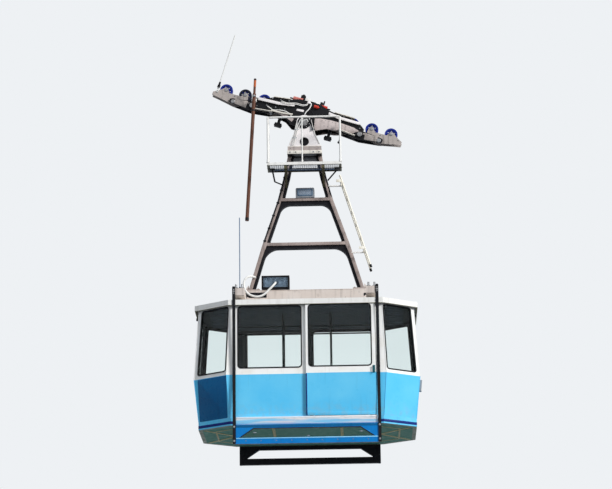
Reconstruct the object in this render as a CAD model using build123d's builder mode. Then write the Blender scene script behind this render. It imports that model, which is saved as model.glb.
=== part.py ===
"""Aerial tramway cabin with its hanger and its eight-wheel carriage.

Frame, in millimetres: X runs along the line and points downhill, Y runs across
the cabin, Z is up. The origin is on the axis of the track rope, straight above
the main pin that the hanger swings on.
"""
from build123d import *
import os
from math import radians, sin, cos, hypot, atan2

os.makedirs("parts", exist_ok=True)

# Carriage, measured along the rope (s) and square to it (n)
SLOPE = radians(17)  # fall of the track rope at rest
TRACK_ROPE = 46  # track rope diameter
HAUL_ROPE = 24
HAUL_DROP = 300  # haul rope axis under the track rope axis
PIN_Z = -170  # main pin, under the origin
PIN_DIA = 100
WHEEL_AT = (565, 995, 1425, 1855)  # wheel axles, each side of the main pin
WHEEL_DIA = 280  # over the flanges
GROOVE_DIA = 250
WHEEL_WIDTH = 90
AXLE_DIA = 50
AXLE_N = GROOVE_DIA / 2 + TRACK_ROPE / 2  # wheel axles, above the rope axis
WHEEL_WEB = (50, 106)  # radii between hub and rim
ARM_END = 1210  # pivot of the balance beams
BOGIE_AT = (780, 1640)  # pivots of the two bogies on a balance beam
PIVOT_N = -75
PLATE = 15

# Hanger
CHEEK_IN = 235  # inner face of a head cheek
CHEEK = 25
HEAD_HALF = 350
FLANGE_Z = -709  # foot of the cheeks
FLANGE = 177
LEG_OUT = ((367, FLANGE_Z - FLANGE), (457, -1350), (597, -1885), (932, -2860), (1222, -3825))
LEG_WIDE = 130
LEG_DEEP = 200
BAR_UP = (-1960, -1815)
BAR_LOW = (-2930, -2800)

# Cabin, an octagon in plan that shrinks above and below the belt line
ROOF_Z = -4330
BELT_Z = -5901
SILL_Z = -6785  # top of the floor frame
FOOT_Z = -6945  # underside of the cabin
ROOF_HALF = 2225
BELT_HALF = 2330
FOOT_HALF = 2220
SIDE_HALF = 1635  # half of the long side panel at the belt
END_HALF = 770  # half of the end panel at the belt
BELT_WIDE = 1250  # half width at the belt
WALL = 40
BAND = 110  # roof edge band
WINDOW_TOP = -4455
WINDOW_FOOT = -5769
CORNER_FOOT = BELT_Z + 75  # foot of the corner and end windows
EDGE = SIDE_HALF - 235  # outer edge of the side window and of the doorway
LEAF = (-5, EDGE + 20)  # door leaf, shut
RAIL_HALF = EDGE + 40
STRAP_X = EDGE + 75
STRAP_WIDE = 64
STRAP = 15
GUIDE_Z = (-7342, -7217)  # lower bar of the guide frames

# Platform on the near side of the hanger
DECK = (-790, 790, -750, -215)
DECK_Z = -1215
RAIL_Z = -206

ALONG = Vector(cos(SLOPE), 0, -sin(SLOPE))
NORMAL = Vector(sin(SLOPE), 0, cos(SLOPE))
PIN_S = -PIN_Z * sin(SLOPE)
PIN_N = PIN_Z * cos(SLOPE)


def on_rope(s, n, y=0):
    """Point s along the carriage from its middle, n above the rope axis."""
    return ALONG * (PIN_S + s) + NORMAL * n + Vector(0, y, 0)


def carriage_plane(y=0):
    """Side view plane of the carriage; extrusion runs toward -Y."""
    return Plane(origin=on_rope(0, 0, y), x_dir=ALONG, z_dir=(0, -1, 0))


def cross_plane(s, n):
    """Plane square to the rope, with its normal along the rope."""
    return Plane(origin=on_rope(s, n), x_dir=(0, 1, 0), z_dir=ALONG)


def side_plane(y=0):
    """Upright side view plane; extrusion runs toward -Y."""
    return Plane(origin=(0, y, 0), x_dir=(1, 0, 0), z_dir=(0, -1, 0))


def half_at(z):
    """Half length of the cabin at a height."""
    if z >= BELT_Z:
        part = (ROOF_Z - z) / (ROOF_Z - BELT_Z)
        return ROOF_HALF + (BELT_HALF - ROOF_HALF) * part
    part = (BELT_Z - z) / (BELT_Z - FOOT_Z)
    return BELT_HALF + (FOOT_HALF - BELT_HALF) * part


def share_at(z):
    """Size of the octagon at a height, as a share of its size at the belt."""
    return half_at(z) / BELT_HALF


def width_at(z):
    """Half width of the cabin at a height."""
    return BELT_WIDE * share_at(z)


def plan(z, grow=0):
    """Corners of the octagon at a height, with every side moved out by grow."""
    half, wide = half_at(z), width_at(z)
    side, end = SIDE_HALF * share_at(z), END_HALF * share_at(z)
    run = hypot(half - side, wide - end)
    nx, ny = (wide - end) / run, (half - side) / run
    reach = nx * side + ny * wide + grow
    sx = (reach - ny * (wide + grow)) / nx
    ey = (reach - nx * (half + grow)) / ny
    quarter = [(half + grow, ey), (sx, wide + grow)]
    left = [(-x, y) for x, y in reversed(quarter)]
    low = [(-x, -y) for x, y in quarter + left]
    return quarter + left + low


def cabin_solid(grow, levels):
    """Closed solid of the cabin's outline between levels of (height, extra growth)."""
    with BuildPart() as solid:
        for z, extra in levels:
            with BuildSketch(Plane.XY.offset(z)):
                with BuildLine():
                    Polyline(*plan(z, grow + extra), close=True)
                make_face()
        loft(ruled=True)
    return solid.part


def slab(grow, z0, z1):
    """Flat octagon between two heights."""
    with BuildPart() as solid:
        with BuildSketch(Plane.XY.offset(z0)):
            with BuildLine():
                Polyline(*plan(z0, grow), close=True)
            make_face()
        extrude(amount=z1 - z0)
    return solid.part


def block(x0, x1, y0, y1, z0, z1):
    """Box between two corners."""
    with BuildPart() as solid:
        with BuildSketch(Plane.XY.offset(z0)):
            with Locations(((x0 + x1) / 2, (y0 + y1) / 2)):
                Rectangle(x1 - x0, y1 - y0)
        extrude(amount=z1 - z0)
    return solid.part


def common(shape, zone):
    """The part of a shape that lies inside a zone."""
    with BuildPart() as kept:
        add(shape)
        add(zone, mode=Mode.INTERSECT)
    return kept.part


def sector(a, b):
    """Upright wedge from the cabin's axis out past two corners of the belt."""
    corners = plan(BELT_Z)
    with BuildPart() as zone:
        with BuildSketch(Plane.XY.offset(FOOT_Z - 10)):
            with BuildLine():
                Polyline((0, 0), Vector(*corners[a]) * 1.6, Vector(*corners[b]) * 1.6, close=True)
            make_face()
        extrude(amount=ROOF_Z - FOOT_Z + 20)
    return zone.part


def window_tool(plane, corners, round_by=70):
    """Prism that cuts a window with rounded corners."""
    with BuildPart() as tool:
        with BuildSketch(plane) as outline:
            with BuildLine():
                Polyline(*corners, close=True)
            make_face()
            fillet(outline.vertices(), radius=round_by)
        extrude(amount=300, both=True)
    return tool.part


def upright(x0, x1, z0, z1):
    """Corners of an upright rectangle."""
    return [(x0, z0), (x1, z0), (x1, z1), (x0, z1)]


WALL_LEVELS = ((ROOF_Z, 0), (BELT_Z, 0), (SILL_Z, 0))
skin = cabin_solid(0, WALL_LEVELS) - cabin_solid(-WALL, WALL_LEVELS)
pane_skin = cabin_solid(-16, WALL_LEVELS) - cabin_solid(-24, WALL_LEVELS)
leaf_skin = cabin_solid(56, WALL_LEVELS) - cabin_solid(20, WALL_LEVELS)
leaf_pane = cabin_solid(42, WALL_LEVELS) - cabin_solid(34, WALL_LEVELS)
NEAR_Y = (-BELT_WIDE - 300, -BELT_WIDE + 300)  # zone that holds the near side

# Window prisms: long sides, the two doors, the four corners and the two ends
near_cut = window_tool(side_plane(-BELT_WIDE), upright(-EDGE, -90, WINDOW_FOOT, WINDOW_TOP))
far_cut = near_cut.rotate(Axis.Z, 180)
near_door_cut = window_tool(side_plane(-BELT_WIDE), upright(50, EDGE - 60, WINDOW_FOOT, WINDOW_TOP))
far_door_cut = near_door_cut.rotate(Axis.Z, 180)
corner_run = hypot(BELT_HALF - SIDE_HALF, BELT_WIDE - END_HALF)
ax, ay = (BELT_HALF - SIDE_HALF) / corner_run, (BELT_WIDE - END_HALF) / corner_run


def corner_span(z, inner=23, outer=83):
    """Start and end of a corner window along its face, parallel to the face's edges."""
    share = share_at(z)
    start = (share - 1) * (SIDE_HALF * ax - BELT_WIDE * ay)
    end = (BELT_HALF * share - SIDE_HALF) * ax + (BELT_WIDE - END_HALF * share) * ay
    return start + inner, end - outer


corner_cuts = []
for sx, sy in ((1, -1), (-1, -1), (1, 1), (-1, 1)):
    face = Plane(origin=(sx * SIDE_HALF, sy * BELT_WIDE, 0), x_dir=(sx * ax, -sy * ay, 0),
                 z_dir=(sx * ay, sy * ax, 0))
    rise = 1 if face.y_dir.Z > 0 else -1
    low, top = corner_span(CORNER_FOOT), corner_span(WINDOW_TOP)
    corner_cuts.append(window_tool(face, [(low[0], rise * CORNER_FOOT), (low[1], rise * CORNER_FOOT),
                                          (top[1], rise * WINDOW_TOP), (top[0], rise * WINDOW_TOP)], 55))
end_plane = Plane(origin=(BELT_HALF, 0, 0), x_dir=(0, 1, 0), z_dir=(1, 0, 0))
low_y, top_y = [END_HALF * share_at(z) - 130 for z in (CORNER_FOOT, WINDOW_TOP)]
right_cut = window_tool(end_plane, [(-low_y, CORNER_FOOT), (low_y, CORNER_FOOT),
                                    (top_y, WINDOW_TOP), (-top_y, WINDOW_TOP)])
left_cut = right_cut.rotate(Axis.Z, 180)

# Long side walls: a fixed window half and the opening of the sliding door
with BuildPart() as side_wall_near:
    add(common(skin, sector(5, 6)))
    add(block(60, EDGE, *NEAR_Y, SILL_Z - 10, ROOF_Z - 70), mode=Mode.SUBTRACT)
    add(near_cut, mode=Mode.SUBTRACT)
side_wall_near.part.label = "side_wall_near"
export_step(side_wall_near.part, "parts/side_wall_near.step")

with BuildPart() as side_wall_far:
    add(side_wall_near.part.rotate(Axis.Z, 180))
side_wall_far.part.label = "side_wall_far"
export_step(side_wall_far.part, "parts/side_wall_far.step")

with BuildPart() as corner_walls:
    for a in (0, 2, 4, 6):
        add(common(skin, sector(a, a + 1)))
    for tool in corner_cuts:
        add(tool, mode=Mode.SUBTRACT)
corner_walls.part.label = "corner_walls"
export_step(corner_walls.part, "parts/corner_walls.step")

with BuildPart() as end_walls:
    add(common(skin, sector(7, 0)))
    add(common(skin, sector(3, 4)))
    add(right_cut, mode=Mode.SUBTRACT)
    add(left_cut, mode=Mode.SUBTRACT)
end_walls.part.label = "end_walls"
export_step(end_walls.part, "parts/end_walls.step")

with BuildPart() as window_panes:
    for tool in [near_cut, far_cut, right_cut, left_cut] + corner_cuts:
        add(common(pane_skin, tool))
window_panes.part.label = "window_panes"
export_step(window_panes.part, "parts/window_panes.step")

# Sliding doors: one leaf on each long side, outside the wall
ROLLER_X = (150, EDGE - 135)
ROLLER_Z = SILL_Z + 15
LEAF_TOP = ROOF_Z - 32
RAIL_Z0 = ROOF_Z - 24
RAIL_Y = -width_at(RAIL_Z0) - 38
with BuildPart() as door_leaf_near:
    add(leaf_skin)
    add(block(*LEAF, *NEAR_Y, ROLLER_Z, LEAF_TOP), mode=Mode.INTERSECT)
    add(near_door_cut, mode=Mode.SUBTRACT)
    # rollers that stand on the sill, and guide pegs in the groove of the rail
    for x in ROLLER_X:
        with BuildSketch(side_plane(-width_at(ROLLER_Z) - 26)):
            with Locations((x, ROLLER_Z)):
                Circle(14.7)
        extrude(amount=24)
        with BuildSketch(Plane.XY.offset(LEAF_TOP - 18)):
            with Locations((x, RAIL_Y)):
                Circle(7.5)
        extrude(amount=36)
door_leaf_near.part.label = "door_leaf_near"
export_step(door_leaf_near.part, "parts/door_leaf_near.step")

with BuildPart() as door_leaf_far:
    add(door_leaf_near.part.rotate(Axis.Z, 180))
door_leaf_far.part.label = "door_leaf_far"
export_step(door_leaf_far.part, "parts/door_leaf_far.step")

with BuildPart() as door_pane_near:
    add(common(leaf_pane, near_door_cut))
    add(block(*LEAF, *NEAR_Y, FOOT_Z, ROOF_Z), mode=Mode.INTERSECT)
door_pane_near.part.label = "door_pane_near"
export_step(door_pane_near.part, "parts/door_pane_near.step")

with BuildPart() as door_pane_far:
    add(door_pane_near.part.rotate(Axis.Z, 180))
door_pane_far.part.label = "door_pane_far"
export_step(door_pane_far.part, "parts/door_pane_far.step")

# Recessed pull of a door: a plate and a bar under the window's outer corner
HANDLE_X = EDGE - 20
HANDLE_Y = -(BELT_WIDE + 56)
with BuildPart() as door_handle_near:
    with BuildSketch(side_plane(HANDLE_Y + 10)):
        with Locations((HANDLE_X, BELT_Z + 60)):
            Rectangle(50, 150)
    extrude(amount=18)
    add(door_leaf_near.part, mode=Mode.SUBTRACT)
    for z in (BELT_Z + 10, BELT_Z + 110):
        with BuildSketch(side_plane(HANDLE_Y - 7)):
            with Locations((HANDLE_X, z)):
                Circle(9)
        extrude(amount=32)
    with BuildSketch(Plane(origin=(HANDLE_X, HANDLE_Y - 44, BELT_Z - 15), z_dir=(0, 0, 1))):
        Circle(10)
    extrude(amount=150)
door_handle_near.part.label = "door_handle_near"
export_step(door_handle_near.part, "parts/door_handle_near.step")

with BuildPart() as door_handle_far:
    add(door_handle_near.part.rotate(Axis.Z, 180))
door_handle_far.part.label = "door_handle_far"
export_step(door_handle_far.part, "parts/door_handle_far.step")

# Door rails under the roof edge and aluminium sills under the leaves
with BuildPart() as door_rails:
    for turn in (0, 180):
        rail = cabin_solid(56, ((ROOF_Z, 0), (RAIL_Z0, 0))) - cabin_solid(20, ((ROOF_Z, 0), (RAIL_Z0, 0)))
        rail = common(rail, block(-RAIL_HALF, RAIL_HALF, *NEAR_Y, ROOF_Z - 70, ROOF_Z))
        groove = RAIL_HALF - 15
        rail = rail - block(-groove, groove, RAIL_Y - 8, RAIL_Y + 8, ROOF_Z - 70, ROOF_Z - 10)
        add(rail.rotate(Axis.Z, turn))
door_rails.part.label = "door_rails"
export_step(door_rails.part, "parts/door_rails.step")

with BuildPart() as door_sills:
    for turn in (0, 180):
        sill = slab(70, FOOT_Z, SILL_Z) - slab(20, FOOT_Z, SILL_Z)
        sill = common(sill, block(-RAIL_HALF, RAIL_HALF, *NEAR_Y, FOOT_Z, SILL_Z))
        add(sill.rotate(Axis.Z, turn))
door_sills.part.label = "door_sills"
export_step(door_sills.part, "parts/door_sills.step")

# Roof: a shallow crown on a rim that covers the walls and the doors
with BuildPart() as roof_shell:
    add(cabin_solid(80, ((ROOF_Z, 0), (ROOF_Z + 95, -600))))
    add(cabin_solid(-60, ((ROOF_Z, 0), (ROOF_Z + 70, -480))), mode=Mode.SUBTRACT)
    add(slab(84, ROOF_Z - BAND, ROOF_Z) - slab(66, ROOF_Z - BAND, ROOF_Z))
roof_shell.part.label = "roof_shell"
export_step(roof_shell.part, "parts/roof_shell.step")

CEILING_Z = ROOF_Z - 90
with BuildPart() as ceiling:
    add(cabin_solid(-WALL, ((CEILING_Z, 0), (CEILING_Z + 20, 0))))
ceiling.part.label = "ceiling"
export_step(ceiling.part, "parts/ceiling.step")

# Floor: edge ring with cross members, deck plate and belly panel
with BuildPart() as floor_frame:
    add(slab(20, FOOT_Z, SILL_Z) - slab(-60, FOOT_Z, SILL_Z))
    for x in (-STRAP_X, -STRAP_X / 2, 0, STRAP_X / 2, STRAP_X):
        add(common(block(x - 35, x + 35, -2 * BELT_WIDE, 2 * BELT_WIDE, FOOT_Z + 12, SILL_Z),
                   slab(-50, FOOT_Z + 12, SILL_Z)))
floor_frame.part.label = "floor_frame"
export_step(floor_frame.part, "parts/floor_frame.step")

with BuildPart() as floor_plate:
    add(cabin_solid(-WALL, ((SILL_Z, 0), (SILL_Z + 20, 0))))
floor_plate.part.label = "floor_plate"
export_step(floor_plate.part, "parts/floor_plate.step")

with BuildPart() as belly_panel:
    add(slab(-60, FOOT_Z, FOOT_Z + 10))
belly_panel.part.label = "belly_panel"
export_step(belly_panel.part, "parts/belly_panel.step")

# Guide frames under the long sides, each with a wide opening and haunches
GUIDE_IN = width_at(FOOT_Z) + 11
STRAP_Y = max(width_at(ROOF_Z) + 87, BELT_WIDE + 32, width_at(FOOT_Z) + 30)
GUIDE = STRAP_Y - GUIDE_IN
with BuildPart() as guide_frames:
    for y in (-GUIDE_IN, STRAP_Y):
        with BuildSketch(side_plane(y)):
            with BuildLine():
                Polyline((-STRAP_X, FOOT_Z), (STRAP_X, FOOT_Z), (STRAP_X, GUIDE_Z[0]),
                         (-STRAP_X, GUIDE_Z[0]), close=True)
            make_face()
            with BuildLine():
                Polyline((385 - STRAP_X, FOOT_Z - 70), (STRAP_X - 385, FOOT_Z - 70),
                         (STRAP_X - 90, GUIDE_Z[1]), (90 - STRAP_X, GUIDE_Z[1]), close=True)
            make_face(mode=Mode.SUBTRACT)
        extrude(amount=GUIDE)
guide_frames.part.label = "guide_frames"
export_step(guide_frames.part, "parts/guide_frames.step")

# Four flat tie straps from the roof beams down to the guide frames
BEAM_Z = ROOF_Z + 95
BEAM = 150
STRAP_TOP = BEAM_Z + BEAM + 35
with BuildPart() as tie_straps:
    for x in (-STRAP_X, STRAP_X):
        for y in (-STRAP_Y, STRAP_Y + STRAP):
            with BuildSketch(side_plane(y)):
                with Locations((x, (GUIDE_Z[0] + STRAP_TOP) / 2)):
                    RectangleRounded(STRAP_WIDE, STRAP_TOP - GUIDE_Z[0], 20)
            extrude(amount=STRAP)
tie_straps.part.label = "tie_straps"
export_step(tie_straps.part, "parts/tie_straps.step")

# Roof beams: two across, one along on top of them
FOOT_PLATE_Z = LEG_OUT[-1][1] - 25
with BuildPart() as roof_beams:
    for x0, x1 in ((-STRAP_X, 220 - STRAP_X), (STRAP_X - 220, STRAP_X)):
        add(block(x0, x1, -STRAP_Y, STRAP_Y, BEAM_Z, BEAM_Z + BEAM))
    add(block(-STRAP_X, STRAP_X, -140, 140, BEAM_Z + BEAM, FOOT_PLATE_Z))
roof_beams.part.label = "roof_beams"
export_step(roof_beams.part, "parts/roof_beams.step")

with BuildPart() as beam_bolts:
    for x in (45 - STRAP_X, 170 - STRAP_X, STRAP_X - 170, STRAP_X - 45):
        for y in (-STRAP_Y + 92, STRAP_Y - 92):
            with BuildSketch(Plane.XY.offset(BEAM_Z + BEAM)):
                with Locations((x, y)):
                    RegularPolygon(42, 6)
            extrude(amount=32)
            with BuildSketch(Plane.XY.offset(BEAM_Z + BEAM + 32)):
                with Locations((x, y)):
                    Circle(22)
            extrude(amount=70)
beam_bolts.part.label = "beam_bolts"
export_step(beam_bolts.part, "parts/beam_bolts.step")

# Hanger frame: two spread legs and two crossbars with arched corners
outer = [(x, z) for x, z in LEG_OUT]
inner = []
for i, (x, z) in enumerate(LEG_OUT):
    a = LEG_OUT[max(i - 1, 0)]
    b = LEG_OUT[min(i + 1, len(LEG_OUT) - 1)]
    lean = atan2(b[0] - a[0], a[1] - b[1])
    inner.append((x - LEG_WIDE / cos(lean), z))


def inner_x(z):
    """Inner edge of a leg at a height."""
    for (xa, za), (xb, zb) in zip(inner, inner[1:]):
        if zb <= z <= za:
            return xa + (xb - xa) * (za - z) / (za - zb)
    return inner[-1][0]


def bay(top, foot, round_top, round_foot):
    """Opening between the legs, from top down to foot."""
    right = [(inner_x(top), top)]
    right += [(x, z) for x, z in inner if foot < z < top]
    right += [(inner_x(foot), foot)]
    left = [(-x, z) for x, z in reversed(right)]
    with BuildSketch(side_plane(LEG_DEEP)) as opening:
        with BuildLine():
            Polyline(*right, *left, close=True)
        make_face()
        if round_foot:
            fillet(opening.vertices().sort_by(Axis.Y)[:2], radius=round_foot)
        fillet(opening.vertices().sort_by(Axis.Y)[-2:], radius=round_top)
    return opening.sketch


bays = [bay(FLANGE_Z - FLANGE - 18, BAR_UP[1], 60, 45), bay(BAR_UP[0], BAR_LOW[1], 230, 45),
        bay(BAR_LOW[0], LEG_OUT[-1][1], 300, 0)]
with BuildPart() as hanger_frame:
    with BuildSketch(side_plane(LEG_DEEP / 2)):
        with BuildLine():
            Polyline(*outer, *[(-x, z) for x, z in reversed(outer)], close=True)
        make_face()
    extrude(amount=LEG_DEEP)
    for opening in bays:
        extrude(opening, amount=2 * LEG_DEEP, mode=Mode.SUBTRACT)
hanger_frame.part.label = "hanger_frame"
export_step(hanger_frame.part, "parts/hanger_frame.step")

with BuildPart() as hanger_feet:
    for x in (-1150, 1150):
        add(block(x - 170, x + 170, -140, 140, FOOT_PLATE_Z, LEG_OUT[-1][1]))
        for dx in (-130, 130):
            for y in (-115, 115):
                with BuildSketch(Plane.XY.offset(LEG_OUT[-1][1])):
                    with Locations((x + dx, y)):
                        RegularPolygon(18, 6)
                extrude(amount=18)
hanger_feet.part.label = "hanger_feet"
export_step(hanger_feet.part, "parts/hanger_feet.step")

# Head: two bell-shaped cheeks on a flange plate
with BuildPart() as head_cheeks:
    for y in (-CHEEK_IN, CHEEK_IN + CHEEK):
        with BuildSketch(side_plane(y)) as cheek:
            with BuildLine():
                Polyline((-HEAD_HALF, FLANGE_Z), (HEAD_HALF, FLANGE_Z), (HEAD_HALF - 25, FLANGE_Z + 60),
                         (225, -430), (165, PIN_Z), (-165, PIN_Z), (-225, -430),
                         (-HEAD_HALF + 25, FLANGE_Z + 60), close=True)
            make_face()
            with Locations((0, PIN_Z)):
                Circle(165)
            with Locations((0, FLANGE_Z + 104)):
                Circle(78, mode=Mode.SUBTRACT)
            with Locations((0, PIN_Z)):
                Circle(PIN_DIA / 2 + 0.2, mode=Mode.SUBTRACT)
        extrude(amount=CHEEK)
head_cheeks.part.label = "head_cheeks"
export_step(head_cheeks.part, "parts/head_cheeks.step")

with BuildPart() as head_flange:
    add(block(-HEAD_HALF - 12, HEAD_HALF + 12, -CHEEK_IN - CHEEK - 15, CHEEK_IN + CHEEK + 15,
              FLANGE_Z - FLANGE, FLANGE_Z))
head_flange.part.label = "head_flange"
export_step(head_flange.part, "parts/head_flange.step")

with BuildPart() as main_pin:
    with BuildSketch(side_plane(290)):
        with Locations((0, PIN_Z)):
            Circle(PIN_DIA / 2)
    extrude(amount=580)
    for y in (-CHEEK_IN - CHEEK, CHEEK_IN + CHEEK + 22):
        with BuildSketch(side_plane(y)):
            with Locations((0, PIN_Z)):
                RegularPolygon(78, 6)
        extrude(amount=22)
main_pin.part.label = "main_pin"
export_step(main_pin.part, "parts/main_pin.step")

# Work platform: deck, guard rail, brackets under it and the ladder beside a leg
dx0, dx1, dy0, dy1 = DECK
with BuildPart() as platform_deck:
    add(block(dx0 + 45, dx1 - 45, dy0 + 45, dy1 - 5, DECK_Z - 35, DECK_Z - 5))
platform_deck.part.label = "platform_deck"
export_step(platform_deck.part, "parts/platform_deck.step")

with BuildPart() as platform_frame:
    add(block(dx0, dx1, dy0, dy1, DECK_Z - 60, DECK_Z))
    add(block(dx0 + 45, dx1 - 45, dy0 + 45, dy1 - 5, DECK_Z - 70, DECK_Z + 10), mode=Mode.SUBTRACT)
    for x in (-400, 400):
        add(block(x - 30, x + 30, dy0 + 20, -LEG_DEEP / 2, DECK_Z - 120, DECK_Z - 60))
        with BuildSketch(Plane(origin=(x - 20, 0, 0), x_dir=(0, 1, 0), z_dir=(1, 0, 0))):
            with BuildLine():
                Polyline((-100, DECK_Z - 285), (-100, DECK_Z - 375), (-600, DECK_Z - 120),
                         (-520, DECK_Z - 120), close=True)
            make_face()
        extrude(amount=40)
platform_frame.part.label = "platform_frame"
export_step(platform_frame.part, "parts/platform_frame.step")

RAIL_DIA = 42
with BuildPart() as platform_rail:
    for x in (dx0 + 22, dx1 - 22):
        for y in (dy0 + 22, dy1 - 90):
            with BuildSketch(Plane.XY.offset(DECK_Z)):
                with Locations((x, y)):
                    Circle(RAIL_DIA / 2)
            extrude(amount=RAIL_Z - DECK_Z - 60)
    with BuildSketch(Plane.XY.offset(DECK_Z)):
        with Locations((-40, dy0 + 22)):
            Circle(14)
    extrude(amount=RAIL_Z - DECK_Z)
    with BuildLine(Plane.XY.offset(RAIL_Z)) as rail_line:
        FilletPolyline((dx0 + 22, dy1 - 90), (dx0 + 22, dy0 + 22), (dx1 - 22, dy0 + 22),
                       (dx1 - 22, dy1 - 90), radius=70)
    with BuildSketch(Plane(rail_line.line @ 0, x_dir=(1, 0, 0), z_dir=rail_line.line % 0)):
        Circle(RAIL_DIA / 2)
    sweep(path=rail_line.line)
    for x in (dx0 + 22, dx1 - 22):
        for y in (dy0 + 22, dy1 - 90):
            with BuildSketch(Plane.XY.offset(RAIL_Z - 62)):
                with Locations((x, y)):
                    Circle(RAIL_DIA / 2)
            extrude(amount=62)
platform_rail.part.label = "platform_rail"
export_step(platform_rail.part, "parts/platform_rail.step")

LADDER_TOP = Vector(750, 0, -1440)
LADDER_FOOT = Vector(1375, 0, -3470)
LADDER_Y = (-450, -110)
ladder_run = LADDER_FOOT - LADDER_TOP
RUNGS = 7
with BuildPart() as ladder:
    for y in LADDER_Y:
        with BuildSketch(Plane(origin=LADDER_TOP + Vector(0, y, 0), x_dir=(0, 1, 0), z_dir=ladder_run)):
            Circle(20)
        extrude(amount=ladder_run.length)
    for i in range(RUNGS):
        at = LADDER_TOP + ladder_run * ((i + 0.6) / RUNGS)
        with BuildSketch(Plane(origin=at + Vector(0, LADDER_Y[0], 0), x_dir=(1, 0, 0), z_dir=(0, 1, 0))):
            Circle(13)
        extrude(amount=LADDER_Y[1] - LADDER_Y[0])
ladder.part.label = "ladder"
export_step(ladder.part, "parts/ladder.step")

# Clamps between the ladder's rear stringer and the leg, and a stay to its front one
with BuildPart() as ladder_clamps:
    for part in (0.06, 0.79):
        at = LADDER_TOP + ladder_run * part
        foot = inner_x(at.Z) + LEG_WIDE
        for y in (LADDER_Y[1] + 30,):
            add(block(foot - 12, at.X - 18, y - 22, y + 22, at.Z - 12, at.Z + 12))
        add(block(at.X - 34, at.X - 18, LADDER_Y[0] - 10, LADDER_Y[1] + 52, at.Z - 12, at.Z + 12))
    add(hanger_frame.part, mode=Mode.SUBTRACT)
    add(ladder.part, mode=Mode.SUBTRACT)
ladder_clamps.part.label = "ladder_clamps"
export_step(ladder_clamps.part, "parts/ladder_clamps.step")

# Work lamp on the upper crossbar, mesh-fronted box on the roof beam
with BuildPart() as work_lamp:
    add(block(-205, 195, -120, 120, BAR_UP[1], BAR_UP[1] + 215))
    chamfer(work_lamp.edges().filter_by(Axis.Y).sort_by(Axis.Z)[-2:], length=18)
work_lamp.part.label = "work_lamp"
export_step(work_lamp.part, "parts/work_lamp.step")

with BuildPart() as mesh_box:
    add(block(-950, -360, -125, 125, FOOT_PLATE_Z + 35, FOOT_PLATE_Z + 320))
    add(block(-925, -385, -125, -30, FOOT_PLATE_Z + 58, FOOT_PLATE_Z + 297), mode=Mode.SUBTRACT)
    for x in (-900, -450):
        add(block(x, x + 60, -100, 100, FOOT_PLATE_Z, FOOT_PLATE_Z + 35))
mesh_box.part.label = "mesh_box"
export_step(mesh_box.part, "parts/mesh_box.step")

# Bent steel conduit from the left leg down past the roof edge and up to the box
with BuildPart() as conduit:
    with BuildLine() as conduit_line:
        FilletPolyline((-1095, -100, -3480), (-1095, -290, -3480), (-1290, -300, -3640),
                       (-1270, -300, -3880), (-1060, -300, -4030), (-800, -300, -3950),
                       (-655, -290, -3790), (-655, -125, -3680), radius=85)
    with BuildSketch(Plane(conduit_line.line @ 0, x_dir=(1, 0, 0), z_dir=conduit_line.line % 0)):
        Circle(20)
    sweep(path=conduit_line.line)
conduit.part.label = "conduit"
export_step(conduit.part, "parts/conduit.step")

# Whip aerial on the left roof beam
AERIAL_AT = (107 - STRAP_X, 382 - STRAP_Y)
with BuildPart() as roof_aerial:
    with BuildSketch(Plane.XY.offset(BEAM_Z + BEAM)):
        with Locations(AERIAL_AT):
            Circle(34)
    extrude(amount=60)
    with BuildSketch(Plane.XY.offset(BEAM_Z + BEAM + 60)):
        with Locations(AERIAL_AT):
            Circle(11)
    extrude(amount=1560)
roof_aerial.part.label = "roof_aerial"
export_step(roof_aerial.part, "parts/roof_aerial.step")

# End marker lamps just under the belt, and the grab rails inside
LAMP_Z = (BELT_Z - 290, BELT_Z - 60)
lamp_half = half_at(sum(LAMP_Z) / 2)
with BuildPart() as marker_lamps:
    for turn in (0, 180):
        lamp = block(lamp_half - 15, lamp_half + 45, 80 - END_HALF, 180 - END_HALF, *LAMP_Z)
        add(lamp.rotate(Axis.Z, turn))
    add(cabin_solid(0, WALL_LEVELS), mode=Mode.SUBTRACT)
marker_lamps.part.label = "marker_lamps"
export_step(marker_lamps.part, "parts/marker_lamps.step")

with BuildPart() as grab_rails:
    for x in (-1500, -500, 500, 1500):
        for y in (-350, 350):
            with BuildSketch(Plane.XY.offset(SILL_Z + 20)):
                with Locations((x, y)):
                    Circle(19)
            extrude(amount=CEILING_Z - SILL_Z - 20)
    for y in (-350, 350):
        with BuildSketch(Plane(origin=(-1500, y, -4700), x_dir=(0, 1, 0), z_dir=(1, 0, 0))):
            Circle(15)
        extrude(amount=3000)
grab_rails.part.label = "grab_rails"
export_step(grab_rails.part, "parts/grab_rails.step")

# Fixed axles of the wheels, and the pivots of bogies and balance beams
with BuildPart() as axles:
    for hand in (-1, 1):
        for s in WHEEL_AT:
            with BuildSketch(carriage_plane(90)):
                with Locations((hand * s, AXLE_N)):
                    Circle(AXLE_DIA / 2)
            extrude(amount=180)
        for s in BOGIE_AT:
            with BuildSketch(carriage_plane(128)):
                with Locations((hand * s, PIVOT_N)):
                    Circle(24)
            extrude(amount=256)
        with BuildSketch(carriage_plane(182)):
            with Locations((hand * ARM_END, PIVOT_N + 10)):
                Circle(30)
        extrude(amount=364)
axles.part.label = "axles"
export_step(axles.part, "parts/axles.step")

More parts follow.
